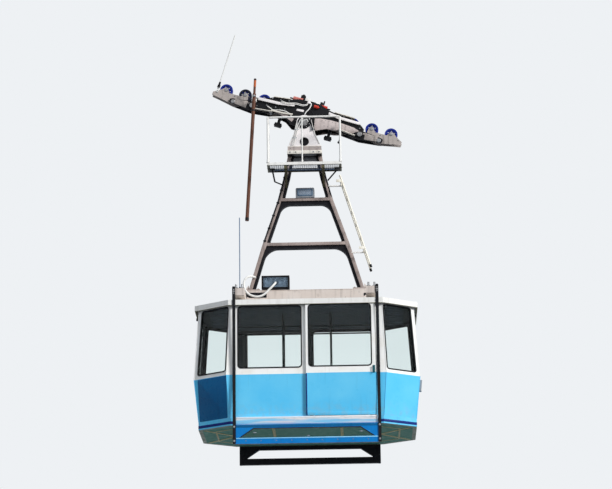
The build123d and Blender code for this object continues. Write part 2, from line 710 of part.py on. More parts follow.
# Carriage main beam: two arched side plates joined over and under the rope
ARCH = [(-1275, -95), (-1275, 60), (-1190, 128), (-1010, 140), (-800, 238), (-430, 285), (-240, 350),
        (240, 350), (400, 275), (560, 250), (1010, 238), (1190, 128), (1275, 60), (1275, -95),
        (1120, -118), (745, -80), (430, -150), (270, -262), (-270, -262), (-430, -150), (-745, -80),
        (-1120, -118)]
with BuildPart() as main_beam:
    for y in (-150, 165):
        with BuildSketch(carriage_plane(y)):
            with BuildLine():
                Polyline(*ARCH, close=True)
            make_face()
            with Locations((0, PIN_N)):
                Circle(PIN_DIA / 2 + 0.4, mode=Mode.SUBTRACT)
        extrude(amount=PLATE)
    add(axles.part, mode=Mode.SUBTRACT)
main_beam.part.label = "main_beam"
export_step(main_beam.part, "parts/main_beam.step")

# Hub tube round the main pin, and the cross members over and under the rope
with BuildPart() as beam_ties:
    with BuildSketch(carriage_plane(150)):
        with Locations((0, PIN_N)):
            Circle(82)
            Circle(PIN_DIA / 2 + 0.4, mode=Mode.SUBTRACT)
    extrude(amount=300)
    for s in (-200, 200):
        with BuildSketch(carriage_plane(150)):
            with Locations((s, 215)):
                Circle(38)
        extrude(amount=300)
    for s in (-560, 560):
        with BuildSketch(carriage_plane(150)):
            with Locations((s, -125)):
                Rectangle(70, 26)
        extrude(amount=300)
beam_ties.part.label = "beam_ties"
export_step(beam_ties.part, "parts/beam_ties.step")

# Edge flanges along both arms, the ribs on their sides and the gusset beside the hub
RIB = 40
RIBS = (([(-1110, 106), (-666, 121), (-315, 175)], 46), ([(447, 195), (679, 157), (1150, 150)], 46),
        ([(-770, -70), (-510, -62), (-300, -35)], 28))
GUSSET = [(235, -10), (300, 30), (760, 50), (1060, 20), (1060, -80), (786, -66), (492, -128), (300, -222)]
with BuildPart() as beam_flanges:
    for a, b, up in ((4, 5, 1), (9, 10, 1), (14, 15, -1), (20, 21, -1)):
        p, q = Vector(*ARCH[a]), Vector(*ARCH[b])
        if p.X > q.X:
            p, q = q, p
        run = (q - p).normalized()
        side = Vector(-run.Y, run.X) * (14 * up)
        for y in (-125, 205):
            with BuildSketch(carriage_plane(y)):
                with BuildLine():
                    Polyline((p.X, p.Y), (q.X, q.Y), (q.X + side.X, q.Y + side.Y),
                             (p.X + side.X, p.Y + side.Y), close=True)
                make_face()
            extrude(amount=80)
    for line, thick in RIBS:
        over = [(s, n + thick / 2) for s, n in line]
        under = [(s, n - thick / 2) for s, n in reversed(line)]
        for y in (-165, 205):
            with BuildSketch(carriage_plane(y)):
                with BuildLine():
                    Polyline(*over, *under, close=True)
                make_face()
            extrude(amount=RIB)
    for y in (-165, 183):
        with BuildSketch(carriage_plane(y)):
            with BuildLine():
                Polyline(*GUSSET, close=True)
            make_face()
        extrude(amount=18)
    add(main_beam.part, mode=Mode.SUBTRACT)
    add(axles.part, mode=Mode.SUBTRACT)
beam_flanges.part.label = "beam_flanges"
export_step(beam_flanges.part, "parts/beam_flanges.step")

# Balance beams hung on the arm ends, each carrying two bogies
first, last = BOGIE_AT
balance = [(first - 80, -30), (first - 20, -10), (ARM_END - 60, 30), (ARM_END + 60, 30), (last + 20, -10),
           (last + 80, -30), (last + 80, -110), (last, -125), (ARM_END, -170), (first, -125),
           (first - 80, -110)]
with BuildPart() as balance_beams:
    for hand in (-1, 1):
        for y in (-98, 113):
            with BuildSketch(carriage_plane(y)):
                with BuildLine():
                    Polyline(*[(hand * s, n) for s, n in balance], close=True)
                make_face()
            extrude(amount=PLATE)
    add(axles.part, mode=Mode.SUBTRACT)
balance_beams.part.label = "balance_beams"
export_step(balance_beams.part, "parts/balance_beams.step")

# Bogies: plate pairs straddling the rope, the outer pair drawn out to a rope guide
INNER_BOGIE = [(490, 60), (510, 165), (545, 195), (595, 195), (650, 95), (915, 95), (965, 195),
               (1020, 195), (1055, 165), (1075, 60), (1000, -60), (820, -100), (740, -100), (560, -60)]
OUTER_BOGIE = [(1345, 60), (1365, 165), (1400, 195), (1450, 195), (1505, 95), (1775, 95), (1830, 195),
               (1885, 195), (1985, 115), (2125, 35), (2125, -35), (1950, -70), (1690, -125),
               (1590, -125), (1400, -60)]
with BuildPart() as bogies:
    for hand in (-1, 1):
        for shape in (INNER_BOGIE, OUTER_BOGIE):
            for y in (-58, 73):
                with BuildSketch(carriage_plane(y)):
                    with BuildLine():
                        Polyline(*[(hand * s, n) for s, n in shape], close=True)
                    make_face()
                extrude(amount=PLATE)
    add(axles.part, mode=Mode.SUBTRACT)
bogies.part.label = "bogies"
export_step(bogies.part, "parts/bogies.step")

with BuildPart() as bogie_spacers:
    for hand in (-1, 1):
        for s, n in ((780, 62), (1640, 62), (2040, 52)):
            with BuildSketch(carriage_plane(58)):
                with Locations((hand * s, n)):
                    Circle(15)
            extrude(amount=116)
bogie_spacers.part.label = "bogie_spacers"
export_step(bogie_spacers.part, "parts/bogie_spacers.step")

# Running wheels, grooved for the track rope
for number, s in enumerate([-s for s in reversed(WHEEL_AT)] + list(WHEEL_AT), start=1):
    with BuildPart() as wheel:
        with BuildSketch(Plane(origin=on_rope(s, AXLE_N), x_dir=(0, 1, 0), z_dir=ALONG)) as profile:
            with Locations((0, (WHEEL_DIA / 2 + AXLE_DIA / 2) / 2 + 0.3)):
                Rectangle(WHEEL_WIDTH, WHEEL_DIA / 2 - AXLE_DIA / 2 - 0.6)
            with Locations((0, WHEEL_DIA / 2 + 8)):
                Circle(TRACK_ROPE / 2, mode=Mode.SUBTRACT)
            for side in (-1, 1):
                with Locations((side * 40, sum(WHEEL_WEB) / 2)):
                    Rectangle(36, WHEEL_WEB[1] - WHEEL_WEB[0], mode=Mode.SUBTRACT)
        revolve(axis=Axis(on_rope(s, AXLE_N), (0, 1, 0)))
    wheel.part.label = f"wheel_{number}"
    export_step(wheel.part, f"parts/wheel_{number}.step")

# Track rope brake over the hub, with its two spring cylinders
with BuildPart() as track_brake:
    with BuildSketch(carriage_plane(70)):
        with BuildLine():
            Polyline((-330, 60), (-200, 45), (200, 45), (330, 60), (290, 230), (240, 330), (110, 395),
                     (-150, 395), (-270, 330), (-290, 230), close=True)
        make_face()
    extrude(amount=140)
    with BuildSketch(carriage_plane(45)):
        with Locations((-205, 425)):
            Rectangle(100, 130)
    extrude(amount=90)
    with BuildSketch(carriage_plane(25)):
        with Locations((265, 385)):
            Rectangle(26, 200)
    extrude(amount=50)
    add(beam_ties.part, mode=Mode.SUBTRACT)
track_brake.part.label = "track_brake"
export_step(track_brake.part, "parts/track_brake.step")

with BuildPart() as brake_cylinders:
    for s0, n, length in ((-400, 350, 210), (195, 318, 175)):
        with BuildSketch(cross_plane(s0, n)):
            with Locations((-80, 0)):
                Circle(52)
        extrude(amount=length)
    add(track_brake.part, mode=Mode.SUBTRACT)
brake_cylinders.part.label = "brake_cylinders"
export_step(brake_cylinders.part, "parts/brake_cylinders.step")

# Haul rope sockets under the arms
with BuildPart() as haul_clamps:
    for s in (-560, 560):
        with BuildSketch(carriage_plane(30)):
            with Locations((s, -215)):
                Rectangle(60, 154)
        extrude(amount=60)
        with BuildSketch(cross_plane(s - 75, -HAUL_DROP)):
            Rectangle(84, 84)
        extrude(amount=150)
        with BuildSketch(cross_plane(s - 100, -HAUL_DROP)):
            Circle(HAUL_ROPE / 2 + 0.5)
        extrude(amount=200, mode=Mode.SUBTRACT)
haul_clamps.part.label = "haul_clamps"
export_step(haul_clamps.part, "parts/haul_clamps.step")

# Whip aerial on the upper end of the carriage
with BuildPart() as carriage_aerial:
    with BuildSketch(carriage_plane(-73)):
        with Locations((-2035, 150)):
            Rectangle(40, 220)
    extrude(amount=12)
    with BuildSketch(Plane(origin=on_rope(-2035, 150, -92), x_dir=(0, 1, 0), z_dir=NORMAL)):
        Circle(13)
    extrude(amount=1250)
carriage_aerial.part.label = "carriage_aerial"
export_step(carriage_aerial.part, "parts/carriage_aerial.step")

# Draw rod: hangs from a pin on the left arm, beside the hanger
ROD_S, ROD_N, ROD_Y = -1190, 75, -360
ROD_LEAN = radians(3.5)
ROD_AXIS = Vector(-sin(ROD_LEAN), 0, -cos(ROD_LEAN))
rod_eye = on_rope(ROD_S, ROD_N, ROD_Y)
with BuildPart() as rod_bracket:
    with BuildSketch(carriage_plane(-165)):
        with Locations((ROD_S, ROD_N - 12)):
            Rectangle(110, 90)
    extrude(amount=20)
    with BuildSketch(carriage_plane(-185)):
        with Locations((ROD_S, ROD_N)):
            Circle(32)
    extrude(amount=-ROD_Y - 45 - 185)
    with BuildSketch(carriage_plane(ROD_Y + 45)):
        with Locations((ROD_S, ROD_N)):
            Circle(12)
    extrude(amount=100)
    with BuildSketch(carriage_plane(ROD_Y - 43)):
        with Locations((ROD_S, ROD_N)):
            Circle(24)
    extrude(amount=14)
    add(main_beam.part, mode=Mode.SUBTRACT)
    add(beam_flanges.part, mode=Mode.SUBTRACT)
rod_bracket.part.label = "rod_bracket"
export_step(rod_bracket.part, "parts/rod_bracket.step")

with BuildPart() as draw_rod:
    with BuildSketch(Plane(origin=rod_eye - ROD_AXIS * 60, x_dir=(0, 1, 0), z_dir=ROD_AXIS)):
        Circle(38)
    extrude(amount=2850)
    with BuildSketch(Plane(origin=rod_eye - ROD_AXIS * 400, x_dir=(0, 1, 0), z_dir=ROD_AXIS)):
        Circle(26)
    extrude(amount=345)
    with BuildSketch(Plane(origin=(rod_eye.X, ROD_Y + 60, rod_eye.Z), x_dir=(1, 0, 0), z_dir=(0, -1, 0))):
        Circle(13)
    extrude(amount=120, mode=Mode.SUBTRACT)
draw_rod.part.label = "draw_rod"
export_step(draw_rod.part, "parts/draw_rod.step")
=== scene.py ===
"""Looks of an aerial tramway cabin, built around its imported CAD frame.

X runs along the line and points downhill, Y runs across the cabin, Z is up.
Sizes in the classes are millimetres; a finished piece is in metres.
"""

import logging
from dataclasses import dataclass
from enum import Enum
from math import atan2, cos, hypot, pi, radians, sin, tan
from typing import Iterable, Sequence, TypeVar

import bmesh
import bpy
from mathutils import Matrix, Vector


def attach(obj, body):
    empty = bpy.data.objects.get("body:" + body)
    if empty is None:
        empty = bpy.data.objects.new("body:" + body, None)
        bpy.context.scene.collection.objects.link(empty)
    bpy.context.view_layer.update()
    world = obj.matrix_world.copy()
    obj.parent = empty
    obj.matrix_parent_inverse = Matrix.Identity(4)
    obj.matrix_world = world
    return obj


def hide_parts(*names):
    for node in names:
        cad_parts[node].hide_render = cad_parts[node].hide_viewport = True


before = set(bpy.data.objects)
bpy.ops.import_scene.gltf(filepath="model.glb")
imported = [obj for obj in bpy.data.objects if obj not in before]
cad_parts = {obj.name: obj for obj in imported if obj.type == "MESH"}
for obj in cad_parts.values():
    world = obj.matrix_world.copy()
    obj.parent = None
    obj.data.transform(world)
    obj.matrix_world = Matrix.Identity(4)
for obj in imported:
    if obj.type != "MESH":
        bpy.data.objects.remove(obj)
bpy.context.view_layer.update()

LOG = logging.getLogger("tramway_cabin")
MM = 0.001
Point = Sequence[float]
Outline = Sequence[tuple[float, float]]
Item = TypeVar("Item")


class Body(str, Enum):
    """Bodies of the part that new pieces ride on."""

    CARRIAGE = "carriage"
    CABIN = "cabin"
    DOOR_NEAR = "door_near"
    DOOR_FAR = "door_far"
    ROD = "draw_rod"


SLOPE = radians(17)
ALONG = Vector((cos(SLOPE), 0, -sin(SLOPE)))
NORMAL = Vector((sin(SLOPE), 0, cos(SLOPE)))
UP, DOWN, TOWARD = (0, 0, 1), (0, 0, -1), (0, -1, 0)  # TOWARD is out from the near side
HANDS = (-1, 1)  # near and far side, or uphill and downhill end
PIN_DROP = 170  # from the track rope's axis straight down to the main pin
WHEEL_PLACES = (565, 995, 1425, 1855)
AXLE_N = 148
BEND_STEPS = 4


def on_rope(s: float, n: float, y: float = 0) -> Vector:
    """Point s along the carriage from its middle, n above the track rope's axis."""
    return ALONG * (PIN_DROP * sin(SLOPE) + s) + NORMAL * n + Vector((0, y, 0))


def plane_at(origin: Point, across: Point, up: Point, out: Point) -> Matrix:
    """Plane at a point, from the directions of its three axes."""
    return Matrix.Translation(origin) @ Matrix((across, up, out)).transposed().to_4x4()


def turned_to(way: Point) -> Matrix:
    """Turn that points the third axis along a direction."""
    return Vector(way).to_track_quat("Z", "Y").to_matrix().to_4x4()


# upright plane along the line, and the same plane turned with the rope
SIDE_VIEW = plane_at((0, 0, 0), (1, 0, 0), UP, TOWARD)
CARRIAGE_VIEW = plane_at(on_rope(0, 0), ALONG, NORMAL, TOWARD)


def linear(tone: str) -> tuple[float, float, float, float]:
    """Turns an sRGB hex colour to linear light.

    Args:
        tone: Colour as six hex digits after a hash.

    Returns:
        Red, green, blue and alpha.
    """
    parts = [int(tone[i:i + 2], 16) / 255 for i in (1, 3, 5)]
    light = [c / 12.92 if c <= 0.04045 else ((c + 0.055) / 1.055) ** 2.4 for c in parts]
    return (*light, 1.0)


def add_node(tree: bpy.types.NodeTree, kind: str, inputs: dict | None = None,
             **settings: object) -> bpy.types.Node:
    """Adds a node to a tree.

    Args:
        tree: Node tree that takes the node.
        kind: Blender's name of the node's class.
        inputs: Socket name or number, and its value or the output socket that feeds it.
        **settings: Settings of the node itself.

    Returns:
        The new node.
    """
    node = tree.nodes.new(kind)
    for name, value in settings.items():
        setattr(node, name, value)
    for name, value in (inputs or {}).items():
        if isinstance(value, bpy.types.NodeSocket):
            tree.links.new(value, node.inputs[name])
        else:
            node.inputs[name].default_value = value
    return node


class Coat:
    """Node tree of one finish while its layers are laid over each other."""

    def __init__(self, name: str, tone: str, roughness: float, **even: float) -> None:
        """Starts a finish as one even colour.

        Args:
            name: Name of the material.
            tone: Colour under all the layers.
            roughness: Roughness of the clean surface.
            **even: Shader sockets that are the same all over, with _ for a space.
        """
        self.material = bpy.data.materials.new(name)
        self.material.use_nodes = True
        self.tree = self.material.node_tree
        self.tree.nodes.clear()
        self.shader = add_node(self.tree, "ShaderNodeBsdfPrincipled",
                               {"Base Color": linear(tone), "Roughness": roughness,
                                **{name.replace("_", " "): k for name, k in even.items()}})
        self.output = add_node(self.tree, "ShaderNodeOutputMaterial",
                               {"Surface": self.shader.outputs[0]})
        self.place = add_node(self.tree, "ShaderNodeTexCoord").outputs["Object"]
        self.axes = add_node(self.tree, "ShaderNodeSeparateXYZ",
                             {"Vector": self.place}).outputs
        self.tone: object = linear(tone)

    def patches(self, size: float, low: float, high: float, share: float = 1.0,
                stretch: Point = (1, 1, 1), detail: float = 3.0) -> bpy.types.NodeSocket:
        """Irregular patches of a real size.

        Args:
            size: Size of a patch in millimetres.
            low: Level of the pattern at which a patch begins to show.
            high: Level at which it is full.
            share: How much a full patch covers.
            stretch: How much shorter a patch is along each axis.
            detail: Fineness of the patch edges.

        Returns:
            Socket from 0 to share.
        """
        spread = add_node(self.tree, "ShaderNodeMapping",
                          {"Scale": [k / (size * MM) for k in stretch], "Vector": self.place})
        cloud = add_node(self.tree, "ShaderNodeTexNoise",
                         {"Scale": 1.0, "Detail": detail, "Vector": spread.outputs[0]})
        return self.past(0, low, high, share, cloud.outputs[0])

    def past(self, axis: int, start: float, end: float, share: float = 1.0,
             source: bpy.types.NodeSocket | None = None) -> bpy.types.NodeSocket:
        """Share that grows along an axis, from start to end in metres.

        Args:
            axis: 0, 1 or 2 for X, Y or Z.
            start: Where the share is 0.
            end: Where the share is full.
            share: The full share.
            source: Another distance to read in place of the axis.

        Returns:
            Socket from 0 to share.
        """
        return add_node(self.tree, "ShaderNodeMapRange",
                        {"From Min": start, "From Max": end, "To Max": share,
                         "Value": source or self.axes[axis]}).outputs[0]

    def sum(self, how: str, first: object, second: object) -> bpy.types.NodeSocket:
        """Works out one number from two, each a socket or a plain value."""
        return add_node(self.tree, "ShaderNodeMath", {0: first, 1: second},
                        operation=how).outputs[0]

    def lay(self, share: object, tone: str) -> None:
        """Lays a colour over what is there, as far as share says."""
        self.tone = add_node(self.tree, "ShaderNodeMix", {0: share, 6: self.tone, 7: linear(tone)},
                             data_type="RGBA").outputs[2]
        self.tree.links.new(self.tone, self.shader.inputs["Base Color"])

    def polish(self, share: object, low: float, high: float) -> None:
        """Lets roughness run from low to high with share."""
        rough = add_node(self.tree, "ShaderNodeMapRange",
                         {"To Min": low, "To Max": high, "Value": share})
        self.tree.links.new(rough.outputs[0], self.shader.inputs["Roughness"])

    def relief(self, share: object, depth: float) -> None:
        """Raises the surface by depth in millimetres with share."""
        bump = add_node(self.tree, "ShaderNodeBump",
                        {"Strength": 1.0, "Distance": depth * MM, "Height": share})
        self.tree.links.new(bump.outputs[0], self.shader.inputs["Normal"])


@dataclass(frozen=True)
class Enamel:
    """Machinery enamel, brushed or sprayed over primer on steel or aluminium.

    It has a soft gloss that fades in patches, rain streaks that run down, and
    small chips that bare the primer.
    """

    name: str
    tone: str
    faded: str
    grime: str = "#5A5148"
    primer: str = "#7A5A4A"
    roughness: float = 0.42
    streaks: float = 0.45
    chips: float = 0.7
    shine: float = 0.14

    def coat(self) -> Coat:
        """Lays the paint and its weather.

        Returns:
            The finish, ready for more layers.
        """
        coat = Coat(self.name, self.tone, self.roughness, Specular_IOR_Level=self.shine)
        coat.lay(coat.patches(520, 0.45, 0.75, 0.7), self.faded)
        coat.lay(coat.patches(70, 0.52, 0.80, self.streaks, (1, 1, 0.07)), self.grime)
        coat.lay(coat.patches(160, 0.60, 0.78, self.streaks * 0.7), self.grime)
        coat.lay(coat.patches(26, 0.70, 0.73, self.chips, detail=5), self.primer)
        coat.polish(coat.patches(90, 0.3, 0.7), self.roughness - 0.1, self.roughness + 0.16)
        # brush marks and orange peel of 8 mm, coarser than the real 3 mm so that they show
        coat.relief(coat.patches(8, 0.2, 0.8), 0.25)
        return coat


@dataclass(frozen=True)
class BareMetal:
    """Unpainted metal: drawn aluminium, rolled or galvanised steel, with a dull skin."""

    name: str
    tone: str
    dull: str
    roughness: float
    grain: Point = (1, 1, 1)
    grime: str = "#3A342E"

    def coat(self) -> Coat:
        """Lays the oxide and the grease over the metal.

        Returns:
            The finish, ready for more layers.
        """
        coat = Coat(self.name, self.tone, self.roughness, Metallic=1.0)
        coat.lay(coat.patches(120, 0.35, 0.75, 0.8), self.dull)
        coat.lay(coat.patches(45, 0.58, 0.8, 0.5), self.grime)
        coat.polish(coat.patches(14, 0.25, 0.75, 1.0, self.grain), self.roughness - 0.08,
                    self.roughness + 0.18)
        coat.relief(coat.patches(6, 0.2, 0.8, 1.0, self.grain), 0.12)
        return coat


@dataclass(frozen=True)
class Moulded:
    """Rubber, plastic or fibre-reinforced resin with an even colour and a dusty skin."""

    name: str
    tone: str
    dust: str
    roughness: float

    def coat(self) -> Coat:
        """Lays the dust over the moulding.

        Returns:
            The finish, ready for more layers.
        """
        coat = Coat(self.name, self.tone, self.roughness, Specular_IOR_Level=0.18)
        coat.lay(coat.patches(140, 0.45, 0.8, 0.4), self.dust)
        coat.lay(coat.patches(24, 0.6, 0.85, 0.3), self.dust)
        coat.polish(coat.patches(60, 0.3, 0.7), self.roughness - 0.08, self.roughness + 0.12)
        coat.relief(coat.patches(5, 0.25, 0.75), 0.15)
        return coat


@dataclass(frozen=True)
class CabinPlan:
    """Octagon of the cabin, widest at the belt, that keeps its shape at every height."""

    SIDES = 8
    LONG_SIDES = (1, 5)  # the two sides with doors

    roof: float = -4330
    belt: float = -5901
    sill: float = -6785
    foot: float = -6945
    side_half: float = 1635
    end_half: float = 770
    wide: float = 1250
    roof_half: float = 2225
    belt_half: float = 2330
    foot_half: float = 2220
    window_top: float = -4455
    window_foot: float = -5769
    corner_foot: float = -5826
    edge: float = 1400

    def half(self, z: float) -> float:
        """Half length of the cabin at a height."""
        if z >= self.belt:
            part = (self.roof - z) / (self.roof - self.belt)
            return self.roof_half + (self.belt_half - self.roof_half) * part
        part = (self.belt - z) / (self.belt - self.foot)
        return self.belt_half + (self.foot_half - self.belt_half) * part

    def share(self, z: float) -> float:
        """Size of the octagon at a height, as a share of its size at the belt."""
        return self.half(z) / self.belt_half

    def wide_at(self, z: float) -> float:
        """Half width of the cabin at a height."""
        return self.wide * self.share(z)

    def normal(self) -> tuple[float, float]:
        """X and Y of a corner face's outward direction."""
        run = hypot(self.belt_half - self.side_half, self.wide - self.end_half)
        return (self.wide - self.end_half) / run, (self.belt_half - self.side_half) / run

    def reach(self) -> float:
        """Distance of a corner face from the middle, at the belt."""
        nx, ny = self.normal()
        return nx * self.side_half + ny * self.wide

    def corners(self, z: float, grow: float = 0) -> list[tuple[float, float]]:
        """Corners of the octagon at a height, with every side moved out by grow."""
        nx, ny = self.normal()
        half, wide = self.half(z) + grow, self.wide_at(z) + grow
        reach = self.reach() * self.share(z) + grow
        quarter = [(half, (reach - nx * half) / ny), ((reach - ny * wide) / nx, wide)]
        over = quarter + [(-x, y) for x, y in reversed(quarter)]
        return over + [(-x, -y) for x, y in over]

    def corner_span(self, z: float) -> tuple[float, float]:
        """Start and end of a corner window along its face."""
        ny, nx = self.normal()
        share = self.share(z)
        start = (share - 1) * (self.side_half * nx - self.wide * ny)
        end = (self.belt_half * share - self.side_half) * nx \
            + (self.wide - self.end_half * share) * ny
        return start + 23, end - 83

    def end_span(self, z: float) -> float:
        """Half width of an end window."""
        return self.end_half * self.share(z) - 130


PLAN = CabinPlan()
TURN = atan2(PLAN.wide - PLAN.end_half, PLAN.belt_half - PLAN.side_half)


class Skin:
    """Two-colour enamel of the cabin walls, with the inner lining behind it, dark as painted shade
    of the inside.
    """

    WHITE, WHITE_OLD = "#FBFAF6", "#EDE9DF"
    SKY, SKY_PALE = "#5BCAF8", "#74D6FB"
    LINING_AND_SHADE = "#22282A"

    def __init__(self, name: str, inner_face: float) -> None:
        """Lays the paint, the belt line and the lining.

        Args:
            name: Name of the material.
            inner_face: Where the lining begins, in metres out from the wall's outer face.
        """
        # years of sun have dulled the gloss, so it mirrors less than fresh enamel
        coat = Coat(name, self.SKY, 0.3, Specular_IOR_Level=0.16)
        coat.lay(coat.patches(700, 0.4, 0.75, 0.8), self.SKY_PALE)
        coat.lay(coat.patches(60, 0.60, 0.86, 0.2, (1, 1, 0.06)), "#3E86AE")
        low = coat.past(2, -6.45, -6.80)
        coat.lay(coat.sum("MULTIPLY", low, coat.patches(110, 0.42, 0.72, 0.6)), "#8FB4C4")
        coat.lay(coat.patches(22, 0.76, 0.79, 0.4, detail=5), "#C9D7DC")
        high = coat.past(2, PLAN.belt * MM - 0.001, PLAN.belt * MM + 0.001)
        coat.lay(high, self.WHITE)
        coat.lay(coat.sum("MULTIPLY", high, coat.patches(300, 0.45, 0.8, 0.8)), self.WHITE_OLD)
        streaks = coat.patches(45, 0.62, 0.85, 0.3, (1, 1, 0.08))
        coat.lay(coat.sum("MULTIPLY", high, streaks), "#A8A294")
        # the lining's near-black is partly painted shade of the inside
        inner = coat.past(2, inner_face + 0.002, inner_face - 0.002, source=self.depth(coat))
        coat.lay(inner, self.LINING_AND_SHADE)
        coat.polish(coat.patches(160, 0.3, 0.7), 0.24, 0.42)
        coat.relief(coat.patches(420, 0.2, 0.8), 1.1)
        self.material = coat.material

    @staticmethod
    def depth(coat: Coat) -> bpy.types.NodeSocket:
        """Distance out from the outer face of the walls, negative inside the cabin."""
        top, foot = PLAN.share(PLAN.roof), PLAN.share(PLAN.foot)
        size = coat.sum("SUBTRACT", coat.past(2, PLAN.roof * MM, PLAN.belt * MM, 1 - top),
                        coat.past(2, PLAN.belt * MM, PLAN.foot * MM, 1 - foot))
        size = coat.sum("ADD", size, top)
        nx, ny = PLAN.normal()
        long_x = coat.sum("ABSOLUTE", coat.axes[0], 0.0)
        across = coat.sum("ABSOLUTE", coat.axes[1], 0.0)
        side = coat.sum("SUBTRACT", across, coat.sum("MULTIPLY", size, PLAN.wide * MM))
        corner = coat.sum("ADD", coat.sum("MULTIPLY", long_x, nx), coat.sum("MULTIPLY", across, ny))
        corner = coat.sum("SUBTRACT", corner, coat.sum("MULTIPLY", size, PLAN.reach() * MM))
        end = coat.sum("SUBTRACT", long_x, coat.sum("MULTIPLY", size, PLAN.belt_half * MM))
        return coat.sum("MAXIMUM", coat.sum("MAXIMUM", side, corner), end)


def safety_glass() -> bpy.types.Material:
    """Clear toughened window glass, faintly green, that lets lamps through."""
    # real glass has 1.52, but thin panes in the open mirror less than over a pale floor
    coat = Coat("toughened_glass", "#F3F9F8", 0.03, Transmission_Weight=1.0, IOR=1.18)
    coat.polish(coat.patches(180, 0.45, 0.8), 0.01, 0.04)
    clear = add_node(coat.tree, "ShaderNodeBsdfTransparent", {"Color": linear("#DCE9E8")})
    path = add_node(coat.tree, "ShaderNodeLightPath")
    both = add_node(coat.tree, "ShaderNodeMixShader",
                    {0: path.outputs["Is Shadow Ray"], 1: coat.shader.outputs[0],
                           2: clear.outputs[0]})
    coat.tree.links.new(both.outputs[0], coat.output.inputs["Surface"])
    return coat.material


